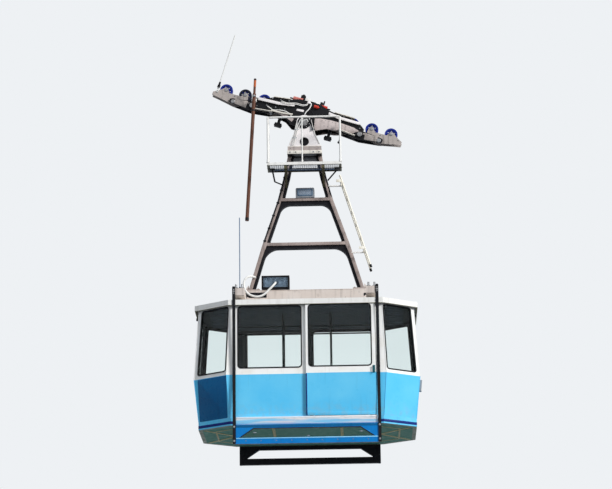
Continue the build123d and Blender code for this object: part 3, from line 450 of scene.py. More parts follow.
class Finishes:
    """Every finish of the part, made once and looked up by name."""

    def __init__(self) -> None:
        """Makes the materials."""
        plain = [
            Enamel("cream_enamel", "#F0E9DC", "#F8F3EA"),
            Enamel("cream_enamel_dusty", "#D5C8BE", "#E2D8D0", streaks=0.5),
            Enamel("white_enamel", "#F4F1EB", "#FBFAF7", grime="#8A8378", streaks=0.3, chips=0.5),
            Enamel("ladder_enamel", "#FAF3E2", "#FFFBF0", grime="#A08E6C", streaks=0.3),
            Enamel("roof_enamel", "#F1EFE9", "#FAF9F5", grime="#A9A396", streaks=0.25, chips=0.3),
            Enamel("hanger_enamel", "#A6968F", "#B5A8A2", grime="#4A423E", streaks=0.6),
            # hanger web: the near-black is painted shade of the recess between the paler edge
            # strips
            Enamel("hanger_web_painted_shade", "#141318", "#201E24", grime="#0E0C0F", primer="#3A302C",
                   roughness=0.6, chips=0.3),
            Enamel("web_enamel", "#CBBDB8", "#D8CCC6", grime="#4A403C", streaks=0.6,
                   primer="#6A4A3C"),
            Enamel("guide_black", "#15161A", "#202127", grime="#2A2724", primer="#4E4A48",
                   roughness=0.55),
            Enamel("box_grey", "#627A90", "#7088A0", grime="#2A3038", streaks=0.3),
            Enamel("fluted_glass", "#9AA8B8", "#A8B6C4", grime="#5A626C", roughness=0.2,
                   streaks=0.2, chips=0.0),
            # olive painted shade for the drip edge under the roof band
            Enamel("olive_painted_shade", "#8F8A68", "#9C9776", grime="#5A5540", roughness=0.6,
                   chips=0.2),
            Enamel("seam_sealant", "#E6DCA0", "#F0E8B4", grime="#A09A68", roughness=0.6, chips=0.0),
            Enamel("head_enamel", "#FBF4F1", "#FFFBF8", grime="#B4A8A4", streaks=0.25, chips=0.4),
            Enamel("bogie_enamel", "#B5ABA4", "#C4BAB2", grime="#3A3430", streaks=0.7,
                   primer="#6A4A3C"),
            Enamel("machine_black", "#121216", "#1E1E23", grime="#0D0B0A", primer="#4C3A32",
                   roughness=0.5),
            Enamel("strap_black", "#101115", "#1D1F25", grime="#2A2724", primer="#4E4A48",
                   roughness=0.5, streaks=0.3),
            Enamel("brake_red", "#D0392B", "#DC5A48", grime="#4A241E", primer="#8A6A60"),
            Enamel("faded_red", "#C58A80", "#D39E94", grime="#5A3A34", primer="#8A6A60",
                   streaks=0.6),
            Enamel("lamp_grey", "#8F949A", "#A5A9AD", grime="#4A4A4A"),
            Enamel("wheel_blue", "#1B2E8C", "#2C40A4", grime="#14141C", primer="#5A5F78",
                   streaks=0.6),
            Enamel("wheel_greasy", "#171A2C", "#23263A", grime="#0E0D10", primer="#4A4A58",
                   streaks=0.8),
            Enamel("guide_blue", "#0078C4", "#1086CE", grime="#1F5478", primer="#9AB6C4",
                   streaks=0.3),
            Enamel("edge_blue", "#5FC8F4", "#7AD5FA", grime="#3F7FA2", primer="#C9D7DC",
                   streaks=0.3),
            # pale blue painted highlight for the top edge of the guide frames' lower bar
            Enamel("pale_blue_highlight", "#8FD8FA", "#A6E2FC", grime="#4F8FB2", primer="#C9D7DC",
                   streaks=0.2),
            # deep blue, partly paint and partly painted shade: the corner panels and the shadow
            # strips under the sills
            Enamel("deep_blue_and_painted_shade", "#045C90", "#0A6A9E", grime="#04406A", primer="#3A7EA6",
                   roughness=0.3, streaks=0.3, chips=0.15),
            Enamel("navy_line", "#0B2470", "#16307E", grime="#0A1A44", primer="#5A6A9A",
                   streaks=0.2),
            Enamel("belly_enamel", "#5C9A86", "#6AA28E", grime="#44705E", primer="#6E8A7E",
                   roughness=0.6, streaks=0.2),
            # near-black of the ceiling, grab rails and lining posts: partly paint, partly painted
            # shade of the inside
            Enamel("ceiling_paint_and_shade", "#181D1E", "#202627", grime="#111414", roughness=0.7,
                   chips=0.0),
            Enamel("slat_enamel", "#36424A", "#424E56", grime="#1C2226", roughness=0.6, chips=0.0),
            BareMetal("rolled_steel", "#8F9092", "#6D6B69", 0.42),
            BareMetal("galvanised_steel", "#A7ADB2", "#858D94", 0.45),
            BareMetal("grating_steel", "#4A5668", "#3A4454", 0.55),
            BareMetal("mesh_wire", "#7A8C9C", "#5C6C7C", 0.5),
            BareMetal("polished_steel", "#B9BCC0", "#94979C", 0.22, (6, 6, 1)),
            Moulded("black_rubber", "#0D0E10", "#26262A", 0.62),
            Moulded("resin_tube", "#66402F", "#452E27", 0.5),
            Moulded("orange_wrap", "#C4663A", "#A6522E", 0.6),
            Moulded("white_hose", "#EDEBE6", "#CFCBC2", 0.5),
            Moulded("grey_whip", "#7C8EA4", "#97A6B8", 0.5),
            Moulded("floor_rubber", "#3A3F42", "#4C5154", 0.75),
            Moulded("teal_cap", "#1E5A64", "#2C707A", 0.45),
            Moulded("lamp_lens", "#F4F2EC", "#DAD6CC", 0.22),
        ]
        self.made = {kind.name: kind.coat() for kind in plain}
        self.by_name = {name: coat.material for name, coat in self.made.items()}
        self.by_name["cabin_skin"] = Skin("cabin_skin", -0.020).material
        self.by_name["door_skin"] = Skin("door_skin", 0.030).material
        self.by_name["toughened_glass"] = safety_glass()
        self.shade_and_underseal()
        self.scuffed_sill()
        self.frames_with_painted_shade()

    def shade_and_underseal(self) -> None:
        """Painted shade, near-black, on the inner faces and undersides of the guide frames, and
        olive sealant under the floor edge.
        """
        guide = self.made["guide_blue"]
        across = guide.sum("ABSOLUTE", guide.axes[1], 0.0)
        # painted shade: the guide frames turn near-black on their inner faces and undersides
        guide.lay(guide.past(1, 1.2035, 1.2025, source=across), "#141318")
        guide.lay(guide.past(2, -7.3405, -7.3415), "#17161B")
        edge = self.made["edge_blue"]
        edge.lay(edge.past(2, -6.9435, -6.9445), "#6E7A62")

    def frames_with_painted_shade(self) -> None:
        """White enamel with dusty faces: the head's flange beam and the platform's rear beam, each
        with painted shade on the faces turned from the light.
        """
        flange = Enamel("flange_enamel_shaded", "#B9ACA6", "#C8BCB4", grime="#4A423E", streaks=0.5).coat()
        # painted shade: near-black under the flange beam
        flange.lay(flange.past(2, -0.8835, -0.8845), "#141215")
        frame_coat = Enamel("platform_enamel_shaded", "#F4F1EB", "#FBFAF7", grime="#8A8378",
                            streaks=0.3, chips=0.5).coat()
        # painted shade: dark olive on every face behind the platform beam's front, and on its
        # underside
        frame_coat.lay(frame_coat.past(1, -0.703, -0.699), "#57503C")
        frame_coat.lay(frame_coat.past(2, -1.2735, -1.2745), "#5E5940")
        for coat in (flange, frame_coat):
            self.by_name[coat.material.name] = coat.material

    def scuffed_sill(self) -> None:
        """Door sill: aluminium painted white and sky blue, rubbed bare by shoes and platforms."""
        coat = Coat("scuffed_sill", "#E6E4E4", 0.45)
        coat.lay(coat.patches(90, 0.5, 0.66, 0.6, (0.1, 1, 1.6)), "#E9CBD0")
        blue = coat.sum("ADD", coat.past(0, 0.9, -1.3, 0.34),
                        coat.patches(110, 0.25, 0.75, 1.0, (0.12, 1, 1.8)))
        coat.lay(coat.past(0, 0.56, 0.86, 0.85, source=blue), "#66C6EE")
        coat.lay(coat.past(2, -6.832, -6.818, 0.75), "#F4F3F2")
        coat.lay(coat.patches(40, 0.6, 0.75, 0.7, (0.2, 1, 1.5)), "#9FB3C0")
        coat.lay(coat.past(2, -6.85, -6.93, 0.55), "#5FA8D6")
        coat.relief(coat.patches(12, 0.3, 0.8, 1.0, (0.2, 1, 1)), 0.6)
        self.by_name["scuffed_sill"] = coat.material

    def dress_nodes(self) -> None:
        """Gives every CAD node its finish."""
        wear = {
            "cabin_skin": ("side_wall_near", "side_wall_far", "corner_walls", "end_walls"),
            "door_skin": ("door_leaf_near", "door_leaf_far"),
            "toughened_glass": ("window_panes", "door_pane_near", "door_pane_far"),
            "roof_enamel": ("roof_shell", "door_rails"),
            "floor_rubber": ("floor_plate",),
            "belly_enamel": ("belly_panel",),
            "edge_blue": ("floor_frame",),
            "guide_blue": ("guide_frames",),
            "strap_black": ("tie_straps", "mesh_box"),
            "scuffed_sill": ("door_sills",),
            "hanger_enamel": ("hanger_feet",),
            "hanger_web_painted_shade": ("hanger_frame",),
            "head_enamel": ("head_cheeks",),
            "white_enamel": ("platform_rail", "ladder_clamps", "rod_bracket"),
            "ladder_enamel": ("ladder",),
            "cream_enamel_dusty": ("roof_beams",),
            "flange_enamel_shaded": ("head_flange",),
            "platform_enamel_shaded": ("platform_frame",),
            "cream_enamel": ("beam_flanges",),
            # the main beam's black also stands in for painted shade on its web under the top flange
            "machine_black": ("main_beam", "beam_ties", "balance_beams", "track_brake",
                              "haul_clamps", "bogie_spacers"),
            "bogie_enamel": ("bogies",),
            "brake_red": ("brake_cylinders",),
            "rolled_steel": ("axles", "main_pin", "beam_bolts"),
            "ceiling_paint_and_shade": ("ceiling", "grab_rails"),
            "grating_steel": ("platform_deck",),
            "lamp_grey": ("work_lamp",),
            "white_hose": ("conduit", "carriage_aerial"),
            "grey_whip": ("roof_aerial",),
            "lamp_lens": ("marker_lamps",),
            "teal_cap": ("door_handle_near", "door_handle_far"),
            "resin_tube": ("draw_rod",),
            "wheel_blue": tuple(f"wheel_{n}" for n in (1, 3, 4, 5, 6, 7, 8)),
            "wheel_greasy": ("wheel_2",),
        }
        for finish, nodes in wear.items():
            for node in nodes:
                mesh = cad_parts[node].data
                mesh.materials.clear()
                mesh.materials.append(self.by_name[finish])
                LOG.info("dressed %s in %s", node, finish)


def rectangle(left: float, low: float, right: float, high: float) -> Outline:
    """Corners of a rectangle, anticlockwise."""
    return (left, low), (right, low), (right, high), (left, high)


def pairs(ring: Sequence[Item]) -> list[tuple[Item, Item]]:
    """Each item of a closed ring with the one after it."""
    return list(zip(ring, [*ring[1:], ring[0]]))


def proud(hand: int, low: float, high: float) -> tuple[float, float]:
    """Depths of a plate on the near side for -1, or of its twin on the far side for 1."""
    return (low, high) if hand < 0 else (-high, -low)


def grown_outline(outline: Outline, by: float) -> list[tuple[float, float]]:
    """Moves every side of a convex outline out.

    Args:
        outline: Its corners, anticlockwise.
        by: Distance; a negative one shrinks it.

    Returns:
        The new corners.
    """
    made = []
    ring = list(outline)
    for before, here, after in zip(ring[-1:] + ring[:-1], ring, ring[1:] + ring[:1]):
        first = Vector(here) - Vector(before)
        second = Vector(after) - Vector(here)
        a = Vector((first.y, -first.x)).normalized()
        b = Vector((second.y, -second.x)).normalized()
        reach = (a + b) / (1 + a.dot(b)) * by
        made.append((here[0] + reach.x, here[1] + reach.y))
    return made


def rounded(outline: Outline, radii: Sequence[float]) -> list[tuple[float, float]]:
    """Rounds the corners of an outline, each by its own radius.

    Args:
        outline: Its corners in order.
        radii: Radius of each corner; 0 keeps it sharp.

    Returns:
        The outline with its arcs.
    """
    part = bmesh.new()
    corners = [part.verts.new((x, y, 0)) for x, y in outline]
    part.faces.new(corners)
    ring = [Vector(p) for p in outline]
    for i, radius in enumerate(radii):
        if radius:
            here = ring[i]
            turn = (ring[i - 1] - here).angle(ring[(i + 1) % len(ring)] - here)
            bmesh.ops.bevel(part, geom=[corners[i]], offset=radius / tan(turn / 2), segments=8,
                            profile=0.5, affect="VERTICES", material=-1)
    part.faces.ensure_lookup_table()
    made = [(loop.vert.co.x, loop.vert.co.y) for loop in part.faces[0].loops]
    part.free()
    return made


def tile(left: float, low: float, right: float, high: float,
         radius: float) -> list[tuple[float, float]]:
    """Outline of a rectangle with equal round corners."""
    return rounded(rectangle(left, low, right, high), (radius,) * 4)


def smooth_line(points: Sequence[Point]) -> list[Vector]:
    """Points along a smooth bent pipe that passes through the given ones.

    Args:
        points: Points that the pipe passes through.

    Returns:
        The points of its middle line.
    """
    line = [Vector(p) for p in points]
    ends = [line[0] * 2 - line[1], *line, line[-1] * 2 - line[-2]]
    made = []
    for a, b, c, d in zip(ends, ends[1:], ends[2:], ends[3:]):
        for k in range(BEND_STEPS):
            t = k / BEND_STEPS
            made.append(b + (c - a) * (t / 2) + (a * 2 - b * 5 + c * 4 - d) * (t * t / 2)
                        + (b * 3 - c * 3 + d - a) * (t * t * t / 2))
    return [*made, line[-1]]


def verts_of(geometry: Iterable[object]) -> list[bmesh.types.BMVert]:
    """Vertices among what an operator has made."""
    return [g for g in geometry if isinstance(g, bmesh.types.BMVert)]


class Shape:
    """One piece in the making, in millimetres."""

    SHARP_EDGE = 0.6  # least angle of an edge that is softened, in radians

    def __init__(self) -> None:
        """Starts an empty piece."""
        self.mesh = bmesh.new()

    def join(self, part: bmesh.types.BMesh, place: Matrix | None = None,
             soften: float = 0.0) -> None:
        """Puts a finished bit of the piece in its place.

        Args:
            part: The bit, which is used up.
            place: Where it goes.
            soften: Width of the rounded edges.
        """
        bmesh.ops.remove_doubles(part, verts=part.verts, dist=0.01)
        if soften:
            sharp = [e for e in part.edges
                     if len(e.link_faces) == 2 and e.calc_face_angle(0) > self.SHARP_EDGE]
            bmesh.ops.bevel(part, geom=sharp, offset=soften, segments=2, profile=0.5,
                            affect="EDGES", material=-1)
        bmesh.ops.transform(part, matrix=place or Matrix(), verts=part.verts)
        bmesh.ops.recalc_face_normals(part, faces=part.faces)
        held = bpy.data.meshes.new("held")
        part.to_mesh(held)
        part.free()
        self.mesh.from_mesh(held)
        bpy.data.meshes.remove(held)

    def thicken(self, part: bmesh.types.BMesh, faces: Iterable[bmesh.types.BMFace], by: float,
                place: Matrix, soften: float) -> None:
        """Gives flat faces a thickness and joins them on.

        Args:
            part: The bit that holds the faces.
            faces: The flat faces.
            by: The thickness, out from the plane.
            place: Where the bit goes.
            soften: Width of its rounded edges.
        """
        grown = bmesh.ops.extrude_face_region(part, geom=list(faces))["geom"]
        bmesh.ops.translate(part, vec=(0, 0, by), verts=verts_of(grown))
        bmesh.ops.recalc_face_normals(part, faces=part.faces)
        self.join(part, place, soften)

    def bar(self, start: Point, end: Point, wide: float, deep: float, up: Point = UP,
            soften: float = 2.0) -> None:
        """Adds a straight bar.

        Args:
            start: Middle of its first end.
            end: Middle of its last end.
            wide: Size across, square to up.
            deep: Size along up.
            up: Direction of its top face.
            soften: Width of its rounded edges.
        """
        part = bmesh.new()
        bmesh.ops.create_cube(part, size=1.0)
        run = Vector(end) - Vector(start)
        along = run.normalized()
        side = along.cross(Vector(up)).normalized()
        bmesh.ops.scale(part, vec=(wide, run.length, deep), verts=part.verts)
        middle = (Vector(start) + Vector(end)) / 2
        self.join(part, plane_at(middle, side, along, side.cross(along)), soften)

    def rod(self, start: Point, end: Point, radius: float, sides: int = 16,
            tip: float | None = None, soften: float = 0.0) -> None:
        """Adds a straight round or many-sided rod, tapered if tip is another radius."""
        part = bmesh.new()
        run = Vector(end) - Vector(start)
        bmesh.ops.create_cone(part, cap_ends=True, segments=sides, radius1=radius,
                              radius2=radius if tip is None else tip, depth=run.length)
        middle = Matrix.Translation((Vector(start) + Vector(end)) / 2)
        self.join(part, middle @ turned_to(run), soften)

    def bolt(self, at: Point, axis: Point, size: float, tall: float | None = None) -> None:
        """Adds a hexagon head on its washer, with the shank's end above it."""
        at, axis = Vector(at), Vector(axis).normalized()
        tall = tall or size * 0.65
        self.rod(at, at + axis * size * 0.14, size * 1.05, 16)
        self.rod(at + axis * size * 0.1, at + axis * tall, size * 0.82, 6, soften=size * 0.06)
        self.rod(at + axis * tall * 0.95, at + axis * (tall + size * 0.35), size * 0.42, 10)

    def bolts(self, places: Iterable[Point], axis: Point, size: float,
              tall: float | None = None) -> None:
        """Adds a bolt at each place."""
        for at in places:
            self.bolt(at, axis, size, tall)

    def rivet(self, at: Point, axis: Point, radius: float) -> None:
        """Adds a low domed rivet head."""
        at, axis = Vector(at), Vector(axis).normalized()
        self.rod(at - axis, at + axis * radius * 0.45, radius, 8, tip=radius * 0.45)

    def rivets(self, places: Iterable[Point], axis: Point, radius: float) -> None:
        """Adds a rivet at each place."""
        for at in places:
            self.rivet(at, axis, radius)

    def tube(self, points: Sequence[Point], radius: float, sides: int = 12) -> None:
        """Adds a round tube that follows points.

        Args:
            points: Its middle line.
            radius: Its outer radius.
            sides: Faces round it.
        """
        part = bmesh.new()
        line = [Vector(p) for p in points]
        ways = [(b - a).normalized() for a, b in zip(line, line[1:])]
        turns = [ways[0]] + [(a + b).normalized() for a, b in zip(ways, ways[1:])] + [ways[-1]]
        ring = bmesh.ops.create_circle(part, radius=radius, segments=sides)["verts"]
        start = Matrix.Translation(line[0]) @ turned_to(ways[0])
        bmesh.ops.transform(part, matrix=start, verts=ring)
        for i in range(1, len(line)):
            edges = [e for e in part.edges if all(v in ring for v in e.verts)]
            ring = verts_of(bmesh.ops.extrude_edge_only(part, edges=edges)["geom"])
            swing = turns[i - 1].rotation_difference(turns[i]).to_matrix().to_4x4()
            shift = Matrix.Translation(line[i]) @ swing @ Matrix.Translation(-line[i - 1])
            bmesh.ops.transform(part, matrix=shift, verts=ring)
        bmesh.ops.holes_fill(part, edges=part.edges, sides=0)
        self.join(part)

    def pipe(self, points: Sequence[Point], radius: float, sides: int = 12) -> None:
        """Adds a tube that bends smoothly through points."""
        self.tube(smooth_line(points), radius, sides)

    def plate(self, outline: Outline, place: Matrix, low: float, high: float,
              holes: Iterable[Outline] = (), soften: float = 1.5) -> None:
        """Adds a flat plate.

        Args:
            outline: Its edge, in the plane of place.
            place: The plane, with its third axis along the thickness.
            low: One face's distance from the plane.
            high: The other face's distance.
            holes: Edges of the holes through it.
            soften: Width of the rounded edges.
        """
        part = bmesh.new()
        for loop in (outline, *holes):
            for a, b in pairs([part.verts.new((x, y, low)) for x, y in loop]):
                part.edges.new((a, b))
        bmesh.ops.triangle_fill(part, use_beauty=True, use_dissolve=True, edges=part.edges)
        self.thicken(part, part.faces, high - low, place, soften)

    def gasket(self, outline: Outline, place: Matrix, lap: float, wide: float, low: float,
               high: float, round_by: float) -> None:
        """Adds a frame with rounded corners round an opening.

        Args:
            outline: Corners of the opening.
            place: The plane that it lies in.
            lap: How far it reaches past the opening.
            wide: Width of the frame.
            low: Its inner face's distance from the plane.
            high: Its outer face's distance.
            round_by: Radius of the opening's corners.
        """
        part = bmesh.new()
        corners = [part.verts.new((x, y, low)) for x, y in grown_outline(outline, lap)]
        part.faces.new(corners)
        bmesh.ops.bevel(part, geom=corners, offset=round_by + lap, segments=5, profile=0.5,
                        affect="VERTICES", material=-1)
        inner = list(part.faces)
        ring = bmesh.ops.inset_region(part, faces=inner, thickness=wide, use_boundary=True,
                                      use_even_offset=True)["faces"]
        bmesh.ops.delete(part, geom=inner, context="FACES")
        self.thicken(part, ring, high - low, place, 2.5)

    def turned(self, profile: Outline, at: Point, axis: Point, sides: int = 32) -> None:
        """Adds a lathe-turned shape.

        Args:
            profile: Radius and height of each point, from one end to the other.
            at: The point of the axis at height 0.
            axis: Direction of the axis.
            sides: Faces round it.
        """
        part = bmesh.new()
        line = [part.verts.new((r, 0, h)) for r, h in profile]
        edges = [part.edges.new(pair) for pair in zip(line, line[1:])]
        bmesh.ops.spin(part, geom=line + edges, cent=(0, 0, 0), axis=UP, angle=2 * pi,
                       steps=sides, use_merge=True)
        self.join(part, Matrix.Translation(Vector(at)) @ turned_to(axis))

    def half_turn(self, verts: Sequence[bmesh.types.BMVert] | None = None) -> None:
        """Turns some vertices, or the whole piece, half round the upright axis."""
        bmesh.ops.rotate(self.mesh, cent=(0, 0, 0), matrix=Matrix.Rotation(pi, 3, "Z"),
                         verts=verts or self.mesh.verts)

    def twin(self) -> None:
        """Repeats the whole piece on the other side of the cabin, turned half round."""
        whole = [*self.mesh.verts, *self.mesh.edges, *self.mesh.faces]
        self.half_turn(verts_of(bmesh.ops.duplicate(self.mesh, geom=whole)["geom"]))


@dataclass(frozen=True)
class WallFace:
    """One upright face of the cabin, with planes that lie on its leaning halves."""

    x: float
    y: float
    turn: float
    reach: float

    def lean(self, upper: bool = True) -> float:
        """How far the face moves out between the belt and its far edge, in millimetres."""
        return self.reach * (PLAN.share(PLAN.roof if upper else PLAN.foot) - 1)

    def rise(self, z: float) -> float:
        """Distance up the leaning face from the belt to a height."""
        far = PLAN.roof if z >= PLAN.belt else PLAN.foot
        return (z - PLAN.belt) * hypot(1, self.lean(z >= PLAN.belt) / (far - PLAN.belt))

    def plane(self, upper: bool = True) -> Matrix:
        """Plane on the outer face: first axis along it, second up it, third out.

        Args:
            upper: True for the half above the belt.

        Returns:
            The plane, with its origin on the belt.
        """
        along = Vector((cos(self.turn), sin(self.turn), 0))
        out = Vector((sin(self.turn), -cos(self.turn), 0))
        far = PLAN.roof if upper else PLAN.foot
        up = (out * self.lean(upper) + Vector((0, 0, far - PLAN.belt))).normalized()
        if not upper:
            up.negate()
        return plane_at((self.x, self.y, PLAN.belt), along, up, along.cross(up))


NEAR = WallFace(0, -PLAN.wide, 0, PLAN.wide)
RIGHT_END = WallFace(PLAN.belt_half, 0, pi / 2, PLAN.belt_half)
RIGHT_CORNER = WallFace(PLAN.side_half, -PLAN.wide, TURN, PLAN.reach())
LEFT_CORNER = WallFace(-PLAN.side_half, -PLAN.wide, -TURN, PLAN.reach())


@dataclass
class Assembly:
    """Pieces that are built together and dressed in the shared finishes."""

    SMOOTH_UP_TO = radians(35)
    BODY = Body.CABIN

    finishes: Finishes

    def put(self, shape: Shape, name: str, finish: str, slot: str,
            body: Body | str = "", replaces: Sequence[str] = ()) -> None:
        """Makes a finished shape an object that rides on a body.

        Args:
            shape: The shape, which is used up.
            name: Name of the piece.
            finish: Name of its finish.
            slot: Material slot of the record that it belongs to; not used.
            body: Body that it rides on, if not the assembly's own.
            replaces: CAD nodes that it stands for.
        """
        body = body or self.BODY
        bmesh.ops.scale(shape.mesh, vec=(MM, MM, MM), verts=shape.mesh.verts)
        data = bpy.data.meshes.new(name)
        shape.mesh.to_mesh(data)
        shape.mesh.free()
        data.shade_smooth()
        data.set_sharp_from_angle(angle=self.SMOOTH_UP_TO)
        data.materials.append(self.finishes.by_name[finish])
        made = bpy.data.objects.new(name, data)
        bpy.context.scene.collection.objects.link(made)
        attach(made, getattr(body, "value", body))
        if replaces:
            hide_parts(*replaces)
        LOG.info("made %s: %d faces on %s", name, len(data.polygons), getattr(body, "value", body))


@dataclass
class CabinShell(Assembly):
    """Trim of the cabin's walls: gaskets, corner beads, rivets, panels, lamps and edge lines."""

    gasket_lap: float = 8
    gasket_wide: float = 27
    gasket_depths: Outline = ((-15.5, 7), (-47, -24.5))
    bead_radius: float = 6.5
    rivet_radius: float = 8
    rivet_pitch: float = 95
    door_clear: float = 30
    panel: Outline = ((-752, -10), (-752, -880), (-28, -880), (-8, -10))
    panel_pitch: float = 105
    panel_face: float = 3.5
    drip_under_roof: float = 112
    line_z: float = -6886
    line_from_door: float = 42
    lamp: Outline = rectangle(-690, -288, -590, -60)
    bracket_z: float = -4600

    def windows(self) -> list[tuple[WallFace, Outline, float]]:
        """Faces, corners and corner radius of the fixed windows on one half of the cabin."""
        low, top = PLAN.corner_foot, PLAN.window_top
        side = rectangle(-PLAN.edge, PLAN.window_foot, -90, top)
        end = [(-PLAN.end_span(low), low), (PLAN.end_span(low), low),
               (PLAN.end_span(top), top), (-PLAN.end_span(top), top)]
        (a, b), (c, d) = PLAN.corner_span(low), PLAN.corner_span(top)
        corner = [(a, low), (b, low), (d, top), (c, top)]
        return [(NEAR, side, 70), (RIGHT_END, end, 70), (RIGHT_CORNER, corner, 55),
                (LEFT_CORNER, [(-x, z) for x, z in reversed(corner)], 55)]

    def build(self) -> None:
        """Builds the trim."""
        seals = Shape()
        for face, outline, radius in self.windows():
            flat = [(x, face.rise(z)) for x, z in outline]
            for low, high in self.gasket_depths:
                seals.gasket(flat, face.plane(), self.gasket_lap, self.gasket_wide, low, high,
                             radius)
        seals.twin()
        self.put(seals, "window_gaskets", "black_rubber", "dark_steel")
        self.beads()
        self.wall_rivets()
        self.corner_shade_panels()
        self.edge_lines()
        self.lamps()
        self.brackets()

    def beads(self) -> None:
        """Half-round beads on the eight upright corners of the walls."""
        beads = Shape()
        levels = (PLAN.roof - self.drip_under_roof, PLAN.belt, PLAN.sill + 2)
        for i in range(PLAN.SIDES):
            beads.tube([(*PLAN.corners(z, 1)[i], z) for z in levels], self.bead_radius, 8)
        self.put(beads, "corner_beads", "cabin_skin", "white_paint")

    def wall_rivets(self) -> None:
        """Rivets along the foot of the walls and under the belt, clear of the door leaves."""
        heads = Shape()
        for z in (PLAN.belt - 42, PLAN.sill + 38):
            ring = [Vector(p) for p in PLAN.corners(z)]
            for i, (start, end) in enumerate(pairs(ring)):
                run = end - start
                count = int(run.length // self.rivet_pitch)
                for k in range(1, count):
                    at = start + run * (k / count)
                    toward_door = at.x if at.y < 0 else -at.x
                    if i in PLAN.LONG_SIDES \
                            and -self.door_clear < toward_door < PLAN.edge + self.door_clear:
                        continue
                    heads.rivet((at.x, at.y, z), (run.y, -run.x, 0), self.rivet_radius)
        self.put(heads, "wall_rivets", "cabin_skin", "blue_paint")

    def corner_shade_panels(self) -> None:
        """Deep blue panels let into two corners under the belt, riveted all round; their deep blue
        is partly paint and partly painted shade of a corner turned from the light.
        """
        plates, heads = Shape(), Shape()
        place = LEFT_CORNER.plane(upper=False)
        plates.plate(rounded(self.panel, (18, 30, 30, 18)), place, -1, self.panel_face, soften=1.2)
        for a, b in pairs([Vector(p) for p in grown_outline(self.panel, -20)]):
            count = int((b - a).length // self.panel_pitch)
            for k in range(count):
                at = a + (b - a) * (k / count)
                heads.rivet(place @ Vector((at.x, at.y, self.panel_face)),
                            place.to_3x3() @ Vector(UP), self.rivet_radius)
        for shape, name in ((plates, "corner_shade_panels"), (heads, "corner_panel_rivets")):
            shape.twin()
            self.put(shape, name, "deep_blue_and_painted_shade", "deep_blue_paint")

    def edge_lines(self) -> None:
        """Navy line on the floor edge, which stops short of the doors, and the roof's drip edge in
        olive as painted shade under the roof band.
        """
        navy, drip = Shape(), Shape()
        ring = [Vector((*p, self.line_z)) for p in PLAN.corners(PLAN.foot, 21)]
        lip = [Vector((*p, PLAN.roof - self.drip_under_roof)) for p in PLAN.corners(PLAN.roof, 76)]
        stop = PLAN.edge + self.line_from_door
        for i, ((a, b), (c, d)) in enumerate(zip(pairs(ring), pairs(lip))):
            drip.bar(c, d, 24, 7, soften=1.5)
            runs = [(a, b)]
            if i in PLAN.LONG_SIDES:
                runs = [(p, Vector((stop if p.x > 0 else -stop, p.y, p.z))) for p in (a, b)]
            for start, end in runs:
                navy.bar(start, end, 5, 56, soften=1)
        self.put(navy, "floor_edge_line", "navy_line", "deep_blue_paint")
        self.put(drip, "roof_drip_edge", "olive_painted_shade", "belly_paint")

    def lamps(self) -> None:
        """Bezels of the marker lamps, with the ribs that are moulded into each lens."""
        bezel, lens = Shape(), Shape()
        place = RIGHT_END.plane(upper=False)
        bezel.gasket(self.lamp, place, 5, 15, -3, 50, 8)
        for v in range(-268, -70, 22):
            lens.rod(place @ Vector((-676, v, 46)), place @ Vector((-604, v, 46)), 4.5, 8)
        for shape, name, tone, slot in ((bezel, "lamp_bezels", "lamp_grey", "grey_paint"),
                                        (lens, "lamp_lens_ribs", "lamp_lens", "lamp_lens")):
            shape.twin()
            self.put(shape, name, tone, slot)

    def brackets(self) -> None:
        """Small mooring brackets on the end faces, just under the roof band."""
        eyes = Shape()
        place = RIGHT_END.plane()
        v = RIGHT_END.rise(self.bracket_z)
        for u in (-690, 690):
            eyes.plate(tile(u - 26, v - 42, u + 26, v + 42, 10), place, -1, 9)
            eyes.bar(place @ Vector((u, v, 6)), place @ Vector((u, v, 48)), 12, 60)
            eyes.bolts([place @ Vector((u + 14, v + dv, 9)) for dv in (-28, 28)], (1, 0, 0), 9)
        eyes.twin()
        self.put(eyes, "end_brackets", "machine_black", "dark_steel")


